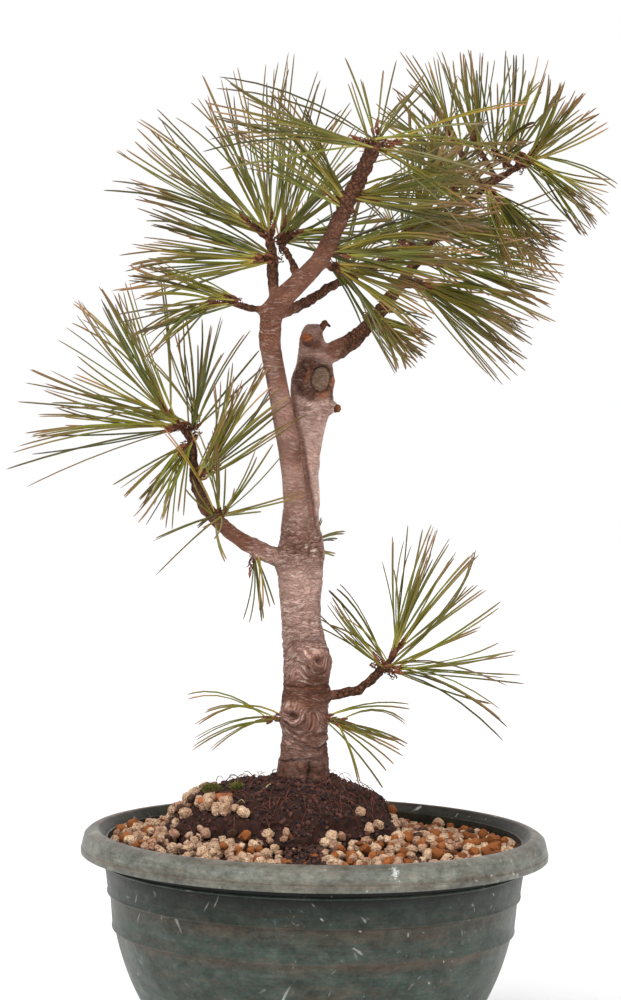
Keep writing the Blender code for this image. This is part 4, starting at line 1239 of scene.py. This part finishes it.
NEEDLE_STATIONS = [(0, 0.75), (0.09, 0.95), (0.25, 1), (0.42, 1), (0.60, 1), (0.78, 0.97), (0.92, 0.85),
                   (0.98, 0.55), (1, 0.12)]
SHEATH_STATIONS = [(0, 1.1), (0.35, 1.25), (0.75, 1.1), (1, 0.8)]
BUD_SCALES, SCALE_TURN = 52, 2.4
THICKETS = (  # part of a tuft's name, share of spikes with a second pair, share left bare, droop
    ("crown_top", 0.06, 0.32, 0.04), ("crown_tip", 0.05, 0.28, 0.05), ("crown", 0.42, 0.06, 0.05),
    ("leader_tip", 0.0, 0.50, 0.06), ("left_spur", 0.05, 0.36, 0.04), ("left_branch_low", 0.0, 0.66, 0.0),
    ("trunk_rear", 0.0, 0.75, 0.02), ("left_branch", 0.10, 0.20, 0.04), ("low_left", 0.0, 0.52, 0.20),
    ("low_right_small", 0.0, 0.36, 0.18), ("low_right", 0.05, 0.40, 0.035), ("", 0.15, 0.15, 0.05))


def tuft_shape(node):
    """A frame tuft's bud and the tips of its spikes."""
    points = places(node.data)
    bud = np.median(points, axis=0)
    for _ in range(3):
        bud = points[np.linalg.norm(points - bud, axis=1) < 0.0055].mean(axis=0)
    away = np.linalg.norm(points - bud, axis=1)
    tips = np.unique(np.round(points[away > 0.012], 5), axis=0)
    return Vector(bud), [Vector(tip) for tip in tips]


def shoot_line(bud, wood):
    """A unit vector from the wood behind a bud to the bud."""
    away = np.linalg.norm(wood - np.array(bud), axis=1)
    nearest = away.min()
    behind = wood[away < nearest + 0.006].mean(axis=0)
    return (bud - Vector(behind)).normalized()


class BONSAI_OT_needles(bpy.types.Operator):
    """Grow pairs of needles, their sheaths and bud scales along each frame tuft's spikes"""

    bl_idname = "bonsai.needles"
    bl_label = "Needle tufts"

    def execute(self, context):
        s = context.scene.bonsai_needles
        needle = rod_template(5, NEEDLE_STATIONS)
        sheath = rod_template(6, SHEATH_STATIONS)
        scale = self.scale_template()
        looks = (needle_finish(s), scale_finish(s))
        wood = places(bpy.data.objects["bark_and_branches"].data)
        for index, name in enumerate(sorted(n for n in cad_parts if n.startswith("needles_"))):
            rng = random.Random(100 + index)
            bud, tips = tuft_shape(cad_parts[name])
            copies = Copies()
            line = shoot_line(bud, wood)
            aim = sum(((tip - bud).normalized() for tip in tips), Vector()).normalized()
            line = (line + 0.8 * aim).normalized()
            extra, fewer, droop = next(row[1:] for row in THICKETS if row[0] in name)
            longest = sorted(tips, key=lambda tip: -(tip - bud).length)[:2]
            for tip in tips:
                reach = (tip - bud).length
                jitter = scatter(rng) * (0.03 if tip in longest else 0.10) * reach
                if tip in longest or rng.random() >= fewer:
                    self.pair(copies, s, rng, bud, line, tip + jitter, droop, needle, sheath)
                if rng.random() < extra:
                    self.pair(copies, s, rng, bud, line, self.beside(bud, tip, rng), droop, needle, sheath)
            self.bud(copies, rng, bud, line, scale)
            tuft = copies.build(name)
            for look in looks:
                tuft.data.materials.append(look)
            finish_piece(tuft, "tuft_" + name[len("needles_"):], None, [name], 50)
        return {"FINISHED"}

    def scale_template(self):
        """A small scale, modelled from a flattened cone."""
        deselect()
        bpy.ops.mesh.primitive_cone_add(vertices=5, radius1=0.5, radius2=0.16, depth=1, location=(0, 0, 0.5))
        bpy.ops.object.transform_apply(location=True)
        edit_all()
        bpy.ops.transform.resize(value=(1, 0.35, 1), center_override=(0, 0, 0))
        leave_edit()
        return template(bpy.context.object)

    def beside(self, bud, tip, rng):
        """A tip near another one, a little shorter."""
        way = tip - bud
        jitter = scatter(rng) * 0.30 * way.length
        return bud + (way + jitter).normalized() * way.length * rng.uniform(0.60, 0.95)

    def pair(self, copies, s, rng, bud, line, tip, droop, needle, sheath):
        way = (tip - bud).normalized()
        outward = way - line * way.dot(line) + scatter(rng, 0.3)
        outward = (outward - line * outward.dot(line)).normalized()
        foot = bud + line * (0.001 - s.shoot * rng.random()) + outward * 0.0016
        reach = (tip - foot).length
        way = (tip - foot).normalized()
        first = (way * 0.50 + line * 0.50 + outward * 0.25).normalized()
        sleeve = foot + first * s.sheath * rng.uniform(0.8, 1.2)
        points, faces = sheath
        laid = bend_rod(points, foot, (foot + sleeve) / 2, sleeve, 0.62 * s.width, 1, 0.3)
        copies.add(laid, faces, 1, along=0.0, tone=rng.uniform(0.25, 0.8))
        split = way.cross(scatter(rng)).normalized()
        spread = reach * (rng.uniform(0.01, 0.035) if rng.random() < 0.55 else rng.uniform(0.035, 0.11))
        sag = Vector((0, 0, rng.uniform(0.0, 2.0) * droop * reach)) * (1 - abs(way.z))
        bow = Vector([rng.gauss(0, 1) for _ in range(3)]) * 0.048 * reach
        tone = min(1, max(0, rng.gauss(0.46, 0.24)))
        points, faces = needle
        for side in (-1, 1):
            end = tip + split * side * spread * rng.uniform(0.6, 1.2)
            end = foot + (end - foot) * rng.uniform(0.93, 1.0)
            middle = foot + first * reach * 0.38 + (end - foot) * 0.14 + sag + bow
            middle += split * side * spread * 0.4
            half = 0.5 * s.width * rng.uniform(0.88, 1.12)
            laid = bend_rod(points, foot + first * 0.0012, middle, end, half, 0.62, rng.uniform(0, 6))
            own = min(1, max(0, tone + rng.uniform(-0.12, 0.12)))
            copies.add(laid, faces, 0, along=points[:, 2], tone=own)

    def bud(self, copies, rng, bud, line, scale):
        """Scales in a spiral: up the bud, and down the shoot behind it where needles fell."""
        points, faces = scale
        side = line.orthogonal().normalized()
        for i in range(BUD_SCALES):
            out = Matrix.Rotation(SCALE_TURN * i, 3, line) @ side
            share = i / (BUD_SCALES - 1)
            along = -0.019 + 0.024 * share
            girth = 0.0018 * (1.0 if share < 0.74 else max(0.15, 1 - (share - 0.74) / 0.30))
            lean = 0.8 if share < 0.74 else -0.15
            way = (line + out * lean * rng.uniform(0.2, 1.2)).normalized()
            base = bud + line * along + out * girth * 0.7
            size = rng.uniform(0.0015, 0.0029)
            across = way.cross(out).normalized()
            deep = across.cross(way)
            turned_in = np.array((across, deep, way)).T
            laid = (points * (size * 0.8, size * 0.8, size)) @ turned_in.T + np.array(base)
            tone = rng.uniform(0.0, 0.35) if share < 0.72 else rng.uniform(0.35, 0.9)
            copies.add(laid, faces, 1, along=0.0, tone=tone)


# --- stage ---


CAMERA_TILT, CAMERA_TURN, CAMERA_ROLL = 2.499, 0.1937, 1.0  # degrees down, left and about the view


class BONSAI_OT_stage(bpy.types.Operator):
    """Set the plain floor, soft lights and the camera"""

    bl_idname = "bonsai.stage"
    bl_label = "Stage"

    def execute(self, context):
        s = context.scene.bonsai_stage
        deselect()
        bpy.ops.mesh.primitive_plane_add(size=12)
        floor = context.object
        floor.name = "pale_floor"
        f = Finish("pale_floor", 0.9)
        floor.data.materials.append(f.done(s.floor_colour))
        world = bpy.data.worlds.new("studio")
        context.scene.world = world
        world.use_nodes = True
        studio = Nodes(world.node_tree)
        way = studio.add("TexCoord")
        ahead = studio.add("VectorMath", out=1, settings={"operation": "DOT_PRODUCT"}, _0=way, _1=(0, 1, 0))
        height = studio.add("SeparateXYZ", out=2, Vector=way)
        behind_pot = studio.between(ahead, 0.55, 0.80, s.ambient, 1.0)
        near_horizon = studio.between(height, 0.20, 0.15, s.ambient, 1.0)
        background = world.node_tree.nodes["Background"]
        background.inputs["Color"].default_value = (1, 1, 1, 1)
        studio.put(studio.math("MAXIMUM", behind_pot, near_horizon), background.inputs["Strength"])
        bpy.ops.object.light_add(type="SUN", location=(0, 0, 2))
        key = context.object
        key.name = "key_light"
        key.data.energy = s.key_power
        key.data.angle = math.radians(38)
        key.rotation_euler = Vector((0.40, 0.62, -1.25)).to_track_quat("-Z", "Y").to_euler()
        bpy.ops.object.light_add(type="AREA", location=(1.6, -1.6, 0.9))
        fill = context.object
        fill.name = "fill_light"
        fill.data.shape = "DISK"
        fill.data.size = 1.6
        fill.data.energy = s.fill_power
        fill.rotation_euler = (Vector((0, 0, 0.3)) - fill.location).to_track_quat("-Z", "Y").to_euler()
        bpy.ops.object.camera_add()
        camera = context.object
        camera.name = "studio_camera"
        camera.data.sensor_fit = "VERTICAL"
        camera.data.sensor_height = 36
        camera.data.lens = s.lens
        facing = Euler((math.radians(90 - CAMERA_TILT), 0, math.radians(CAMERA_TURN))).to_matrix().to_4x4()
        roll = Matrix.Rotation(math.radians(CAMERA_ROLL), 4, "Z")
        camera.matrix_world = Matrix.Translation((0, -s.camera_distance, s.camera_height)) @ facing @ roll
        context.scene.camera = camera
        context.scene.view_settings.view_transform = "Standard"
        return {"FINISHED"}


class BONSAI_PT_panel(bpy.types.Panel):
    """Lists the pieces of the bonsai"""

    bl_idname = "BONSAI_PT_panel"
    bl_label = "Bonsai"
    bl_space_type = "VIEW_3D"
    bl_region_type = "UI"
    bl_category = "Bonsai"

    def draw(self, context):
        for operator in OPERATORS:
            self.layout.operator(operator.bl_idname)
        for name in SETTINGS:
            settings = getattr(context.scene, name)
            for key in settings.__annotations__:
                self.layout.prop(settings, key)


OPERATORS = (BONSAI_OT_stage, BONSAI_OT_pot, BONSAI_OT_soil, BONSAI_OT_litter, BONSAI_OT_wood,
             BONSAI_OT_stubs, BONSAI_OT_needles)


def register():
    for name, settings in SETTINGS.items():
        bpy.utils.register_class(settings)
        setattr(bpy.types.Scene, name, PointerProperty(type=settings))
    for operator in OPERATORS:
        bpy.utils.register_class(operator)
    bpy.utils.register_class(BONSAI_PT_panel)


def unregister():
    bpy.utils.unregister_class(BONSAI_PT_panel)
    for operator in reversed(OPERATORS):
        bpy.utils.unregister_class(operator)
    for name, settings in SETTINGS.items():
        delattr(bpy.types.Scene, name)
        bpy.utils.unregister_class(settings)


def main():
    register()
    for operator in OPERATORS:
        group, action = operator.bl_idname.split(".")
        getattr(getattr(bpy.ops, group), action)()


if __name__ == "__main__":
    main()
